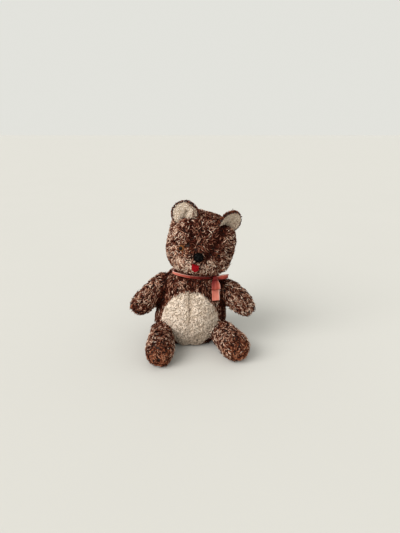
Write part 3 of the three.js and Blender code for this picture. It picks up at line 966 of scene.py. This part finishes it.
CREAM = [
    [(0.0, (0.10, 0.065, 0.045)), (0.35, (0.48, 0.37, 0.28)), (1.0, (0.72, 0.60, 0.48))],
    [(0.0, (0.13, 0.085, 0.060)), (0.35, (0.55, 0.43, 0.33)), (1.0, (0.89, 0.75, 0.63))],
    [(0.0, (0.17, 0.110, 0.080)), (0.35, (0.63, 0.50, 0.39)), (1.0, (1.00, 0.90, 0.79))],
]
plush = pile_material("frosted_plush", [FROSTED, RUST], turn=(0.4, 0.35, 0.7))
fleece = pile_material("cream_fleece", [CREAM, FROSTED], turn=(0.5, 0.4, 0.9))
print("pile materials:", plush.name, fleece.name)


# %% Backing cloth
def backing_material(name, dark, light):
    """The knitted cloth that the pile stands on: rows of fine loops, darker where dust has gathered."""
    make = Surface(name, Sheen_Weight=0.2)
    place = make.place()
    dust = make.noise(place, 160.0)
    colour = make.mix(dust, (*dark, 1), (*light, 1))
    make.shade(Base_Color=colour, Roughness=make.spread(dust, 0.85, 1.0))
    loops = make.node("ShaderNodeTexWave", {"Vector": place, "Scale": 900.0, "Distortion": 1.5},
                      bands_direction="Z")
    make.bump(loops.outputs["Fac"], 0.3, 0.2 * MM)
    return make.material


plush_backing = backing_material("plush_backing", (0.012, 0.006, 0.004), (0.045, 0.018, 0.010))
fleece_backing = backing_material("fleece_backing", (0.46, 0.36, 0.27), (0.62, 0.51, 0.39))

# %% [markdown]
# ## Skins and their pile
#
# Each panel gets two pieces. The skin is the open sheet given the thickness of its backing cloth, so it is
# a closed shell that replaces its CAD node. The pile grows on the same sheet. The skin rides on the bear's
# one body, as everything here does; the stuffing is what holds its shape.

# %% Skins
BACKING = 0.5 * MM
PLUSH_PILE = {"Locks per mm2": 0.7, "Length": 6.2 * MM, "Width": 1.2 * MM, "Lean": 0.95, "Curl": 0.28,
              "Swirl": 1.1, "Tuft": 2.4, "Gather": 0.4, "Tuft tone": 0.4, "Lock tone": 1.05,
              "Sides": 3, "Rings": 3, "Material": plush}
FLEECE_PILE = {"Locks per mm2": 0.85, "Length": 3.4 * MM, "Width": 1.4 * MM, "Lean": 0.9, "Curl": 0.35,
               "Swirl": 2.2, "Tuft": 3.0, "Gather": 0.7, "Tuft tone": 0.25, "Lock tone": 0.25,
               "Sides": 3, "Rings": 2, "Material": fleece}
EAR_PILE = {"ear_back": dict(PLUSH_PILE, **{"Locks per mm2": 1.0, "Width": 1.0 * MM, "Length": 4.6 * MM}),
            "ear_lining": dict(FLEECE_PILE, **{"Locks per mm2": 1.2, "Width": 1.0 * MM, "Length": 2.4 * MM})}


def thickened(name, sheet, thickness, material):
    """A closed shell made from a copy of an open sheet, with its outer face where the sheet was."""
    made = add_object(name, sheet.copy())
    made.data.materials.append(material)
    change = made.modifiers.new("Solidify", "SOLIDIFY")
    change.thickness = thickness
    change.offset = -1
    mesh = plain_result(made, name)
    shade_smooth(mesh)
    return add_object(name, mesh)


pile_triangles = 0
for number, name in enumerate(PANELS):
    is_fleece = name in FLEECE
    skin = thickened(f"skin_{name}", sheets[name], BACKING, fleece_backing if is_fleece else plush_backing)
    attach(skin, "root")
    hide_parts(name)
    kind = name.replace("_left", "").replace("_right", "")
    values = EAR_PILE.get(kind, FLEECE_PILE if is_fleece else PLUSH_PILE)
    pile = grow(f"pile_{name}", sheets[name], dict(values, Seed=20 * number + 1))
    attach(pile, "root")
    triangles = sum(len(face.vertices) - 2 for face in pile.data.polygons)
    pile_triangles += triangles
    print(f"{name:18s} pile of {triangles:7d} triangles")
print("pile triangles in all:", pile_triangles)

# %% [markdown]
# ## Eyes
#
# Each eye is an amber button with a black middle under its polished dome, pushed through the plush and
# locked behind it. The CAD nodes already have the shank and the place. Their face is faceted, so a smooth
# dome is turned on the same axis. A lathe is the plain way to make anything round. The turned mesh notes
# how far each point lies from its axis, and the material reads that to draw the black middle.


# %% Turned pieces
TURN_STEPS = 40


def turned(name, profile, frame_matrix):
    """A profile of (radius, height) turned about +Z, then put in place. It starts and ends on the axis."""
    shape = bmesh.new()
    angles = [2 * math.pi * step / TURN_STEPS for step in range(TURN_STEPS)]
    rings = []
    for radius, height in profile:
        around = angles if radius > 0 else angles[:1]
        rings.append([shape.verts.new((radius * math.cos(a), radius * math.sin(a), height)) for a in around])
    for low, high in zip(rings, rings[1:]):
        for step in range(TURN_STEPS):
            after = (step + 1) % TURN_STEPS
            corners = [low[step % len(low)], low[after % len(low)],
                       high[after % len(high)], high[step % len(high)]]
            unique = list(dict.fromkeys(corners))
            if len(unique) > 2:
                shape.faces.new(unique)
    bmesh.ops.recalc_face_normals(shape, faces=shape.faces)
    mesh = mesh_from(shape, name)
    store(mesh, "from_axis", np.linalg.norm(points_of(mesh)[:, :2], axis=1) / MM)
    mesh.transform(frame_matrix)
    shade_smooth(mesh)
    return add_object(name, mesh)


def axis_of(name):
    """A CAD button's frame: its shank runs from its far end to its dome, which gives +Z."""
    points = points_of(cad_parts[name].data)
    centre = points.mean(axis=0)
    _, _, ways = np.linalg.svd(points - centre)
    axis = ways[0] if ways[0][1] < 0 else -ways[0]
    heights = (points - centre) @ axis
    turn = Vector(axis).to_track_quat("Z", "Y").to_matrix().to_4x4()
    place = Vector(centre + axis * heights.max())
    return Matrix.Translation(place) @ turn


# %% Eyes
EYE_RADIUS = 3.3 * MM
EYE_DOME = 2.6 * MM
EYE_SHANK = 1.5 * MM  # its radius
EYE_SHANK_END = 9 * MM  # behind the eye's widest ring
PUPIL = 2.3  # mm, the radius of the black middle
PUPIL_EDGE = 0.15  # mm, half the width of the blur round it
EYE_SUNK = {"left": 3.3 * MM, "right": 0.6 * MM}  # the left eye has sunk into the stuffing


def eye_profile():
    dome = [(EYE_RADIUS * math.cos(a), EYE_DOME * math.sin(a)) for a in np.linspace(0, math.pi / 2, 12)]
    dome[-1] = (0, EYE_DOME)
    shank = [(0, -EYE_SHANK_END), (EYE_SHANK, -EYE_SHANK_END), (EYE_SHANK, -0.9 * MM),
             (EYE_RADIUS * 0.92, -0.7 * MM)]
    return shank + dome


def eye_material():
    make = Surface("amber_eye", Coat_Weight=0.04, Coat_Roughness=0.1, Specular_IOR_Level=0.05)
    haze = make.noise(make.place(), 900.0)
    amber = make.mix(haze, (0.12, 0.040, 0.011, 1), (0.30, 0.115, 0.036, 1))
    edge = {"From Min": PUPIL - PUPIL_EDGE, "From Max": PUPIL + PUPIL_EDGE}
    past_pupil = make.node("ShaderNodeMapRange", {"Value": make.value("from_axis"), **edge}).outputs["Result"]
    colour = make.mix(past_pupil, (0.004, 0.003, 0.003, 1), amber)
    make.shade(Base_Color=colour, Roughness=make.spread(haze, 0.15, 0.35))
    return make.material


button = eye_material()
for side in SIDES:
    placed = axis_of(f"eye_{side}") @ Matrix.Translation((0, 0, -EYE_DOME - EYE_SUNK[side]))
    eye = turned(f"button_eye_{side}", eye_profile(), placed)
    eye.data.materials.append(button)
    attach(eye, "root")
    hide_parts(f"eye_{side}")
    print(eye.name, "faces along", np.round(np.array(placed.col[2])[:3], 2))

# %% [markdown]
# ## Nose
#
# The nose is a ball on a shank, flocked with short black fibre, so it has no glint. The ball is turned, and
# the same pile tree covers it with finer and shorter fibre than the plush.


# %% Nose
def bare_sheet(source, away_from):
    """A copy of a mesh that carries the values the pile tree reads. Its pile leans away from one point."""
    sheet = source.copy()
    points = points_of(sheet)
    plain = np.zeros(len(points))
    fields = {"short": plain, "bare": plain, "tone": plain + 0.5, "rust": plain,
              "comb": unit(points - np.array(away_from)), "up": normals_of(sheet)}
    for label, values in fields.items():
        store(sheet, label, values)
    return sheet


NOSE_RADIUS = 4.5 * MM
NOSE_SUNK = 7.8 * MM  # from the front of the CAD node to the middle of the ball
NOSE_SHANK = 1.6 * MM  # its radius
NOSE_SHANK_END = 12 * MM  # behind the ball's middle
nose_frame = axis_of("nose") @ Matrix.Translation((0, 0, -NOSE_SUNK))
ball = [(NOSE_RADIUS * math.sin(a), NOSE_RADIUS * -math.cos(a)) for a in np.linspace(0.36, math.pi, 14)]
ball[-1] = (0, NOSE_RADIUS)
shank = [(0, -NOSE_SHANK_END), (NOSE_SHANK, -NOSE_SHANK_END), (NOSE_SHANK, -4.4 * MM)]
nose = turned("flocked_nose", shank + ball[1:], nose_frame)

BLACK = [
    [(0.0, (0.001, 0.001, 0.001)), (1.0, (0.002, 0.002, 0.002))],
    [(0.0, (0.001, 0.001, 0.001)), (1.0, (0.003, 0.002, 0.002))],
    [(0.0, (0.001, 0.001, 0.001)), (1.0, (0.005, 0.003, 0.002))],
]
flock = pile_material("black_flock", [BLACK], turn=(0.4, 0.5, 1.0))
nose.data.materials.append(backing_material("nose_backing", (0.002, 0.002, 0.002), (0.005, 0.004, 0.003)))
FLOCK = {"Locks per mm2": 5.0, "Length": 1.5 * MM, "Width": 0.45 * MM, "Lean": 0.5, "Curl": 0.2,
         "Swirl": 1.5, "Tuft": 1.2, "Gather": 0.4, "Tuft tone": 0.5, "Lock tone": 0.6, "Sides": 3, "Rings": 2,
         "Material": flock, "Seed": 801}
nose_pile = grow("pile_nose", bare_sheet(nose.data, nose_frame.translation), FLOCK)
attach(nose, "root")
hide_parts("nose")
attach(nose_pile, "root")
print("nose pile:", len(nose_pile.data.polygons), "faces")

# %% [markdown]
# ## Tongue
#
# A scrap of red felt, cut with a round end and sewn into the mouth seam so that it sticks out below the
# nose. Felt has no weave: its surface is matted fibre, so the sheet gets a little thickness, a soft edge
# and a very short fuzz.

# %% Tongue
TONGUE_WIDTH = 8.6 * MM
TONGUE_LENGTH = 6.0 * MM
TONGUE_THICKNESS = 1.2 * MM
TONGUE_TILT = math.radians(14)
TONGUE_FORWARD = 4.6 * MM  # from the middle of the CAD node's box to the top of the sheet
TONGUE_DROP = 0.7 * MM  # from the top of the CAD node's box


def tongue_sheet():
    """A grid with a rounded end that hangs from the mouth and curls outwards."""
    low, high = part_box("tongue")
    middle_y = (low.y + high.y) / 2
    top = Vector(((low.x + high.x) / 2, middle_y - TONGUE_FORWARD, high.z - TONGUE_DROP))
    tilt = Matrix.Rotation(TONGUE_TILT, 4, "Y")
    half = TONGUE_WIDTH / 2
    columns, rows = 12, 14
    shape = bmesh.new()
    grid = []
    for row in range(rows + 1):
        v = row / rows
        drop = max(v * TONGUE_LENGTH - (TONGUE_LENGTH - half), 0)
        reach = math.sqrt(max(half**2 - drop**2, 0.0)) if drop > 0 else half
        reach = max(reach, 0.9 * MM) * (0.86 + 0.14 * v)
        line = []
        for column in range(columns + 1):
            u = 2 * column / columns - 1
            depth = 4.0 * (1 - v) ** 3 - 1.9 * math.sin(v * 1.9) + 0.7 * u * u  # its root is in the seam
            place = Vector((u * reach, depth * MM, -v * TONGUE_LENGTH))
            line.append(shape.verts.new(top + tilt @ place))
        grid.append(line)
    for row in range(rows):
        for column in range(columns):
            shape.faces.new([grid[row][column], grid[row + 1][column], grid[row + 1][column + 1],
                             grid[row][column + 1]])
    return mesh_from(shape, "tongue_sheet")


def felt_material():
    make = Surface("red_felt", Specular_IOR_Level=0.1)
    place = make.place()
    blotch = make.noise(place, 500.0, 5.0, 0.6)
    fibre = make.noise(place, 2600.0, 4.0, 0.7)
    colour = make.mix(blotch, (0.26, 0.003, 0.006, 1), (0.42, 0.008, 0.014, 1))
    make.shade(Base_Color=colour, Roughness=make.spread(fibre, 0.85, 1.0))
    make.bump(fibre, 0.5, 0.2 * MM)
    return make.material


felt_sheet = tongue_sheet()
tongue = thickened("felt_tongue", felt_sheet, TONGUE_THICKNESS, felt_material())
RED = [
    [(0.0, (0.24, 0.003, 0.006)), (1.0, (0.36, 0.006, 0.010))],
    [(0.0, (0.28, 0.004, 0.008)), (1.0, (0.40, 0.008, 0.014))],
    [(0.0, (0.34, 0.006, 0.012)), (1.0, (0.50, 0.020, 0.026))],
]
felt_fuzz = pile_material("felt_fuzz", [RED], turn=(0.4, 0.5, 1.0))
FUZZ = dict(FLOCK, **{"Locks per mm2": 6.0, "Length": 0.8 * MM, "Width": 0.22 * MM, "Material": felt_fuzz,
                      "Seed": 901, "Lean": 0.9})
tongue_fuzz = grow("fuzz_tongue", bare_sheet(felt_sheet, middle("head_filling")), FUZZ)
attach(tongue, "root")
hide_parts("tongue")
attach(tongue_fuzz, "root")

# %% [markdown]
# ## Ribbon
#
# One length of satin ribbon goes round the neck and is tied in a bow on the bear's left. Round the neck it
# is bunched, because it was pulled tight: its width is crushed into a few folds. The bow has one loop that
# hangs down and one that sticks out sideways under the cheek. Its two tails are cut straight across, and
# the shorter one is behind the other.
#
# A ribbon could be simulated, but each stretch is simple: a line to follow, a way that its width points,
# and some crumple. A small sweep makes each stretch, and a shared material carries the satin along its
# length.


# %% Ribbon sweep
def smooth_line(points, steps):
    """A smooth line through a few places, cut into even steps, and its length."""
    curve = bpy.data.curves.new("line", "CURVE")
    curve.dimensions = "3D"
    curve.resolution_u = 24
    spline = curve.splines.new("BEZIER")
    spline.bezier_points.add(len(points) - 1)
    for knot, place in zip(spline.bezier_points, points):
        knot.co = Vector(place) * MM
        knot.handle_left_type = knot.handle_right_type = "AUTO"
    mesh = plain_result(add_object("line", curve), "line")
    line = points_of(mesh)
    bpy.data.meshes.remove(mesh)
    length = np.concatenate([[0], np.cumsum(np.linalg.norm(np.diff(line, axis=0), axis=1))])
    even = np.linspace(0, length[-1], steps + 1)
    return np.stack([np.interp(even, length, line[:, axis]) for axis in range(3)], axis=1), length[-1]


def strip(shape, points, widths, halves, steps, crumple, fold, phase, fade, shaded=0.0, columns=10):
    """Adds a strip of ribbon to a bmesh. widths are the ways that its width points, halves are its half
    widths, and fade is how pale it is from 0 to 1, all from its start to its end: uneven fading of the dye
    together with painted light and shade. shaded paints one edge darker and the other paler."""
    line, length = smooth_line(points, steps)
    share = np.linspace(0, 1, steps + 1)
    keys = np.linspace(0, 1, len(widths))
    ways = np.stack([np.interp(share, keys, [w[axis] for w in widths]) for axis in range(3)], axis=1)
    ahead = unit(np.gradient(line, axis=0))
    ways = unit(ways - ahead * np.sum(ways * ahead, axis=1, keepdims=True))
    outward = np.cross(ahead, ways)
    grid = []
    layer = shape.loops.layers.uv.get("UVMap") or shape.loops.layers.uv.new("UVMap")
    bleach_and_light_layer = shape.verts.layers.float.get("faded") or shape.verts.layers.float.new("faded")
    bleach_and_light = np.interp(share, np.linspace(0, 1, len(fade)), fade)
    half_width = np.interp(share, np.linspace(0, 1, len(halves)), halves)
    for row in range(steps + 1):
        cells = []
        for column in range(columns + 1):
            u = 2 * column / columns - 1
            ripple = crumple * math.sin(9.0 * share[row] * length / (18 * MM) + 2.1 * u + phase)
            pleat = fold * math.cos(2.5 * math.pi * u)
            place = line[row] + ways[row] * u * half_width[row] + outward[row] * (ripple + pleat)
            cells.append(shape.verts.new(place))
            cells[-1][bleach_and_light_layer] = bleach_and_light[row] + shaded * u
        grid.append(cells)
    for row in range(steps):
        for column in range(columns):
            face = shape.faces.new([grid[row][column], grid[row][column + 1], grid[row + 1][column + 1],
                                    grid[row + 1][column]])
            corners = [(column, row), (column + 1, row), (column + 1, row + 1), (column, row + 1)]
            for loop, (across, along) in zip(face.loops, corners):
                loop[layer].uv = (across / columns, along / steps * length / (10 * MM))
    return length


# %% Round the neck
RIBBON_HALF = 4.6 * MM  # half its width
BUNCHED_HALF = 1.5 * MM  # half its width where it is bunched round the neck
RIBBON_THICKNESS = 0.35 * MM
NECK = np.array([2.3, 18.8, 84.4])  # the middle of the band, in millimetres, as all its sizes below are
NECK_REACH = np.array([27.2, 26.0])  # to the side and to the front, where it lies on the chest
NECK_GAP = 1.6  # how far it stands off the skin at the back, on flattened pile
BAND_SLANT = 0.12  # how far the band drops for each millimetre to the bear's left
KNOT_ANGLE = 50  # degrees from straight ahead, towards the bear's left
BAND_STEP = 15  # degrees
# Painted light and shade round the neck: palest on the bear's right, where the light falls, darkest in front
# under the chin and at the knot.
BAND_FADE_AND_LIGHT = (0.1, 0.5, 0.5, 0.5, 0.5, 0.5, 0.5, 0.7, 1.0, 0.7, 0.2, 0.05, 0.1)  # from the knot and back to it


def neck_place(degrees, rise=0.0, out=0.0):
    """A place round the neck, in millimetres. 0 is straight ahead and 90 is on the bear's left."""
    way = np.array([math.sin(math.radians(degrees)), -math.cos(math.radians(degrees)), 0.0])
    laid = 1 / math.hypot(way[0] / NECK_REACH[0], way[1] / NECK_REACH[1])
    level = NECK[2] - BAND_SLANT * laid * way[0] + rise
    start = Vector((NECK[0], NECK[1], level)) * MM
    tight = skin_tree.ray_cast(start, Vector(way))[3] / MM + NECK_GAP
    in_front = min(max((0.1 - way[1]) / 0.6, 0), 1)
    reach = min(tight, laid) * (1 - in_front) + laid * in_front + out
    return (NECK[0] + reach * way[0], NECK[1] + reach * way[1], level)


def band_rise(degrees):
    """The band is a little higher in front, and dips at the bear's right."""
    return max(math.cos(math.radians(degrees)), 0) - 1.6 * math.exp(-(((degrees - 280) / 30) ** 2))


shape = bmesh.new()
round_neck = [neck_place(degrees, rise=band_rise(degrees))
              for degrees in range(KNOT_ANGLE, KNOT_ANGLE + 360 + 1, BAND_STEP)]
ribbon_length = strip(shape, round_neck, [(0, 0, 1), (0, 0, 1)], [BUNCHED_HALF], 90, 0.2 * MM, 0.8 * MM, 0.0,
                      BAND_FADE_AND_LIGHT, columns=20)
print("round the neck in mm:", round(ribbon_length / MM))

# %% Bow
KNOT_OUT = 3.8  # mm, how far the knot stands out from the band
knot = np.array(neck_place(KNOT_ANGLE, out=KNOT_OUT))


def from_knot(*steps):
    """Places given as steps from the knot, to the bear's left, back and up."""
    return [knot + np.array(step) for step in steps]


LOOP = from_knot((0, 0, 0), (0.8, -3.6, -4.0), (1.2, -6.4, -8.0), (1.1, -6.8, -10.6), (0.7, -5.0, -11.2),
                 (0.4, -3.2, -8.5), (0, -1, -4), (0, 0.5, 0))
TAIL = from_knot((0, 0.5, -1), (0.4, -2.5, -8), (0.6, -5, -14), (0.8, -6.5, -19), (1.0, -8, -23.3))
SHORT_TAIL = from_knot((0.2, 0.8, -1), (0.8, -1.2, -6), (1.2, -3.0, -11), (1.4, -4.2, -15))
SIDE_LOOP = from_knot((0, 0, 0), (5, -1.2, 1.2), (10, -0.8, 1.8), (14, 0.8, 1.8), (14.6, 3.0, 1.4),
                      (10, 3.6, 1.0), (4.5, 2.6, 0.5), (0, 1, 0))
WRAP = from_knot((-0.5, 3.0, 2.6), (-0.3, -1.2, 2.6), (0.2, -2.6, 0.4), (0.4, -2.0, -2.2), (0.2, 1.0, -3.0),
                 (0, 3.2, -1.5))
ACROSS = (0.96, 0.28, 0.05)
UPRIGHT = (0.1, -0.2, 1)
PULLED = 2.4 * MM  # half the ribbon's width where the knot squeezes it
# Each stretch's fade paints shade at the knot, under the cheek, and paler satin further from it; one edge's
# shade paints one edge darker and the other paler.
stretches = [  # line, ways of its width, half widths, steps, crumple, fold, phase, fade, and one edge's shade
    (LOOP, [ACROSS, (1, 0.15, 0.1), ACROSS], [PULLED, 4.4 * MM, 4.9 * MM, 4.4 * MM, PULLED],
     44, 0.3, 0.3, 1.0, (-0.15, 0.2, 0.4, 0.3, 0.0), 0.22),
    (TAIL, [ACROSS, (0.90, 0.42, 0.0)], [PULLED, 4.4 * MM, RIBBON_HALF],
     34, 0.25, 0.12, 2.0, (0.0, 0.75, 0.95), 0.2),
    (SHORT_TAIL, [ACROSS, (0.9, 0.4, 0.0)], [PULLED, RIBBON_HALF],
     26, 0.2, 0.1, 4.0, (0.1, 0.3), 0.0),
    (SIDE_LOOP, [UPRIGHT, (0.15, -0.3, 1), UPRIGHT], [1.2 * MM, 3.2 * MM, 2.3 * MM, 2.8 * MM, 1.2 * MM],
     44, 0.2, 0.3, 3.0, (-0.2, 0.35, 0.1, -0.1, 0.0), 0.2),
    (WRAP, [(1, 0.2, 0.1), (1, 0.1, 0)], [2.3 * MM],
     30, 0.25, 0.4, 5.0, (-0.2, 0.0), 0.1),
]
for points, widths, halves, steps, crumple, fold, phase, fade, shaded in stretches:
    ribbon_length += strip(shape, points, widths, halves, steps, crumple * MM, fold * MM, phase, fade, shaded)
print("knot at", np.round(knot, 1), "ribbon in mm:", round(ribbon_length / MM))


# %% Satin
# From the darkest satin to the palest: the fading of the dye, and the painted shade and light along the
# ribbon.
SATIN_FADE_AND_LIGHT = [(0.0, (0.15, 0.010, 0.009)), (0.35, (0.34, 0.058, 0.036)), (1.0, (0.62, 0.20, 0.145))]


def satin_material():
    """Satin floats its threads along the ribbon, so it shines across its length. Its dye shows uneven fading
    in patches, and the stored fade adds painted light and shade, with a painted highlight along one edge.
    """
    make = Surface("satin_ribbon", Anisotropic=0.6, Roughness=0.45, Specular_IOR_Level=0.2)
    chart = make.chart("UVMap")
    patchy = make.minus(make.noise(make.place(), 160.0), 0.5)
    faded = make.plus(make.value("faded"), make.times(patchy, 0.5))
    # A painted highlight along one edge, strongest where the satin is painted paler.
    edge = make.number("GREATER_THAN", make.apart(chart)["X"], 0.9)
    painted_edge_highlight = make.times(edge, make.spread(faded, 0.1, 0.8))
    make.shade(Base_Color=make.mix(painted_edge_highlight, make.ramp(faded, SATIN_FADE_AND_LIGHT), (0.86, 0.56, 0.48, 1)))
    ribs = make.node("ShaderNodeTexWave", {"Vector": chart, "Scale": 12.0, "Distortion": 0.4},
                     bands_direction="Y")
    make.bump(ribs.outputs["Fac"], 0.25, 0.1 * MM)
    return make.material


bmesh.ops.recalc_face_normals(shape, faces=shape.faces)
ribbon_sheet = mesh_from(shape, "ribbon_sheet")
ribbon = thickened("satin_neck_ribbon", ribbon_sheet, RIBBON_THICKNESS, satin_material())
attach(ribbon, "root")
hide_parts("ribbon")

# %% [markdown]
# ## Stuffing and washers
#
# Neither can be seen, but both are in the bear. The stuffing is loose white fibre, so each filling is
# remeshed into a soft lump that stays a little clear of the skin. The washers keep their CAD shape and get
# a moulded white finish.


# %% Stuffing
STUFFING_VOXEL = 3.0 * MM
STUFFING_GAP = 1.6 * MM


def fibre_material():
    make = Surface("white_fibre", Specular_IOR_Level=0.1)
    wisps = make.noise(make.place(), 700.0, 6.0, 0.7)
    colour = make.mix(wisps, (0.70, 0.68, 0.62, 1), (0.86, 0.85, 0.80, 1))
    make.shade(Base_Color=colour, Roughness=make.spread(wisps, 0.9, 1.0))
    make.bump(wisps, 0.8, 0.5 * MM)
    return make.material


fibre = fibre_material()
for name in FILLINGS:
    mesh = remeshed([name], STUFFING_VOXEL)
    set_points(mesh, smoothed(points_of(mesh), edges_of(mesh), 4))
    gap = STUFFING_GAP * (1 + 0.4 * lumps(points_of(mesh), 9 * MM, 2.2))
    set_points(mesh, points_of(mesh) - normals_of(mesh) * gap[:, None])
    mesh.materials.clear()
    mesh.materials.append(fibre)
    shade_smooth(mesh)
    stuffing = add_object(f"stuffing_{name.replace('_filling', '')}", mesh)
    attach(stuffing, "root")
    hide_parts(name)
print("pieces of stuffing:", len(FILLINGS))


# %% Washers
def washer_material():
    make = Surface("white_plastic")
    flow = make.noise(make.place(), 400.0)
    colour = make.mix(flow, (0.78, 0.78, 0.74, 1), (0.85, 0.85, 0.82, 1))
    make.shade(Base_Color=colour, Roughness=make.spread(flow, 0.4, 0.55))
    return make.material


moulded = washer_material()
washers = [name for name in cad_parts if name.endswith("washer")]
for name in washers:
    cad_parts[name].data.materials.clear()
    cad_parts[name].data.materials.append(moulded)
print("washers:", len(washers))
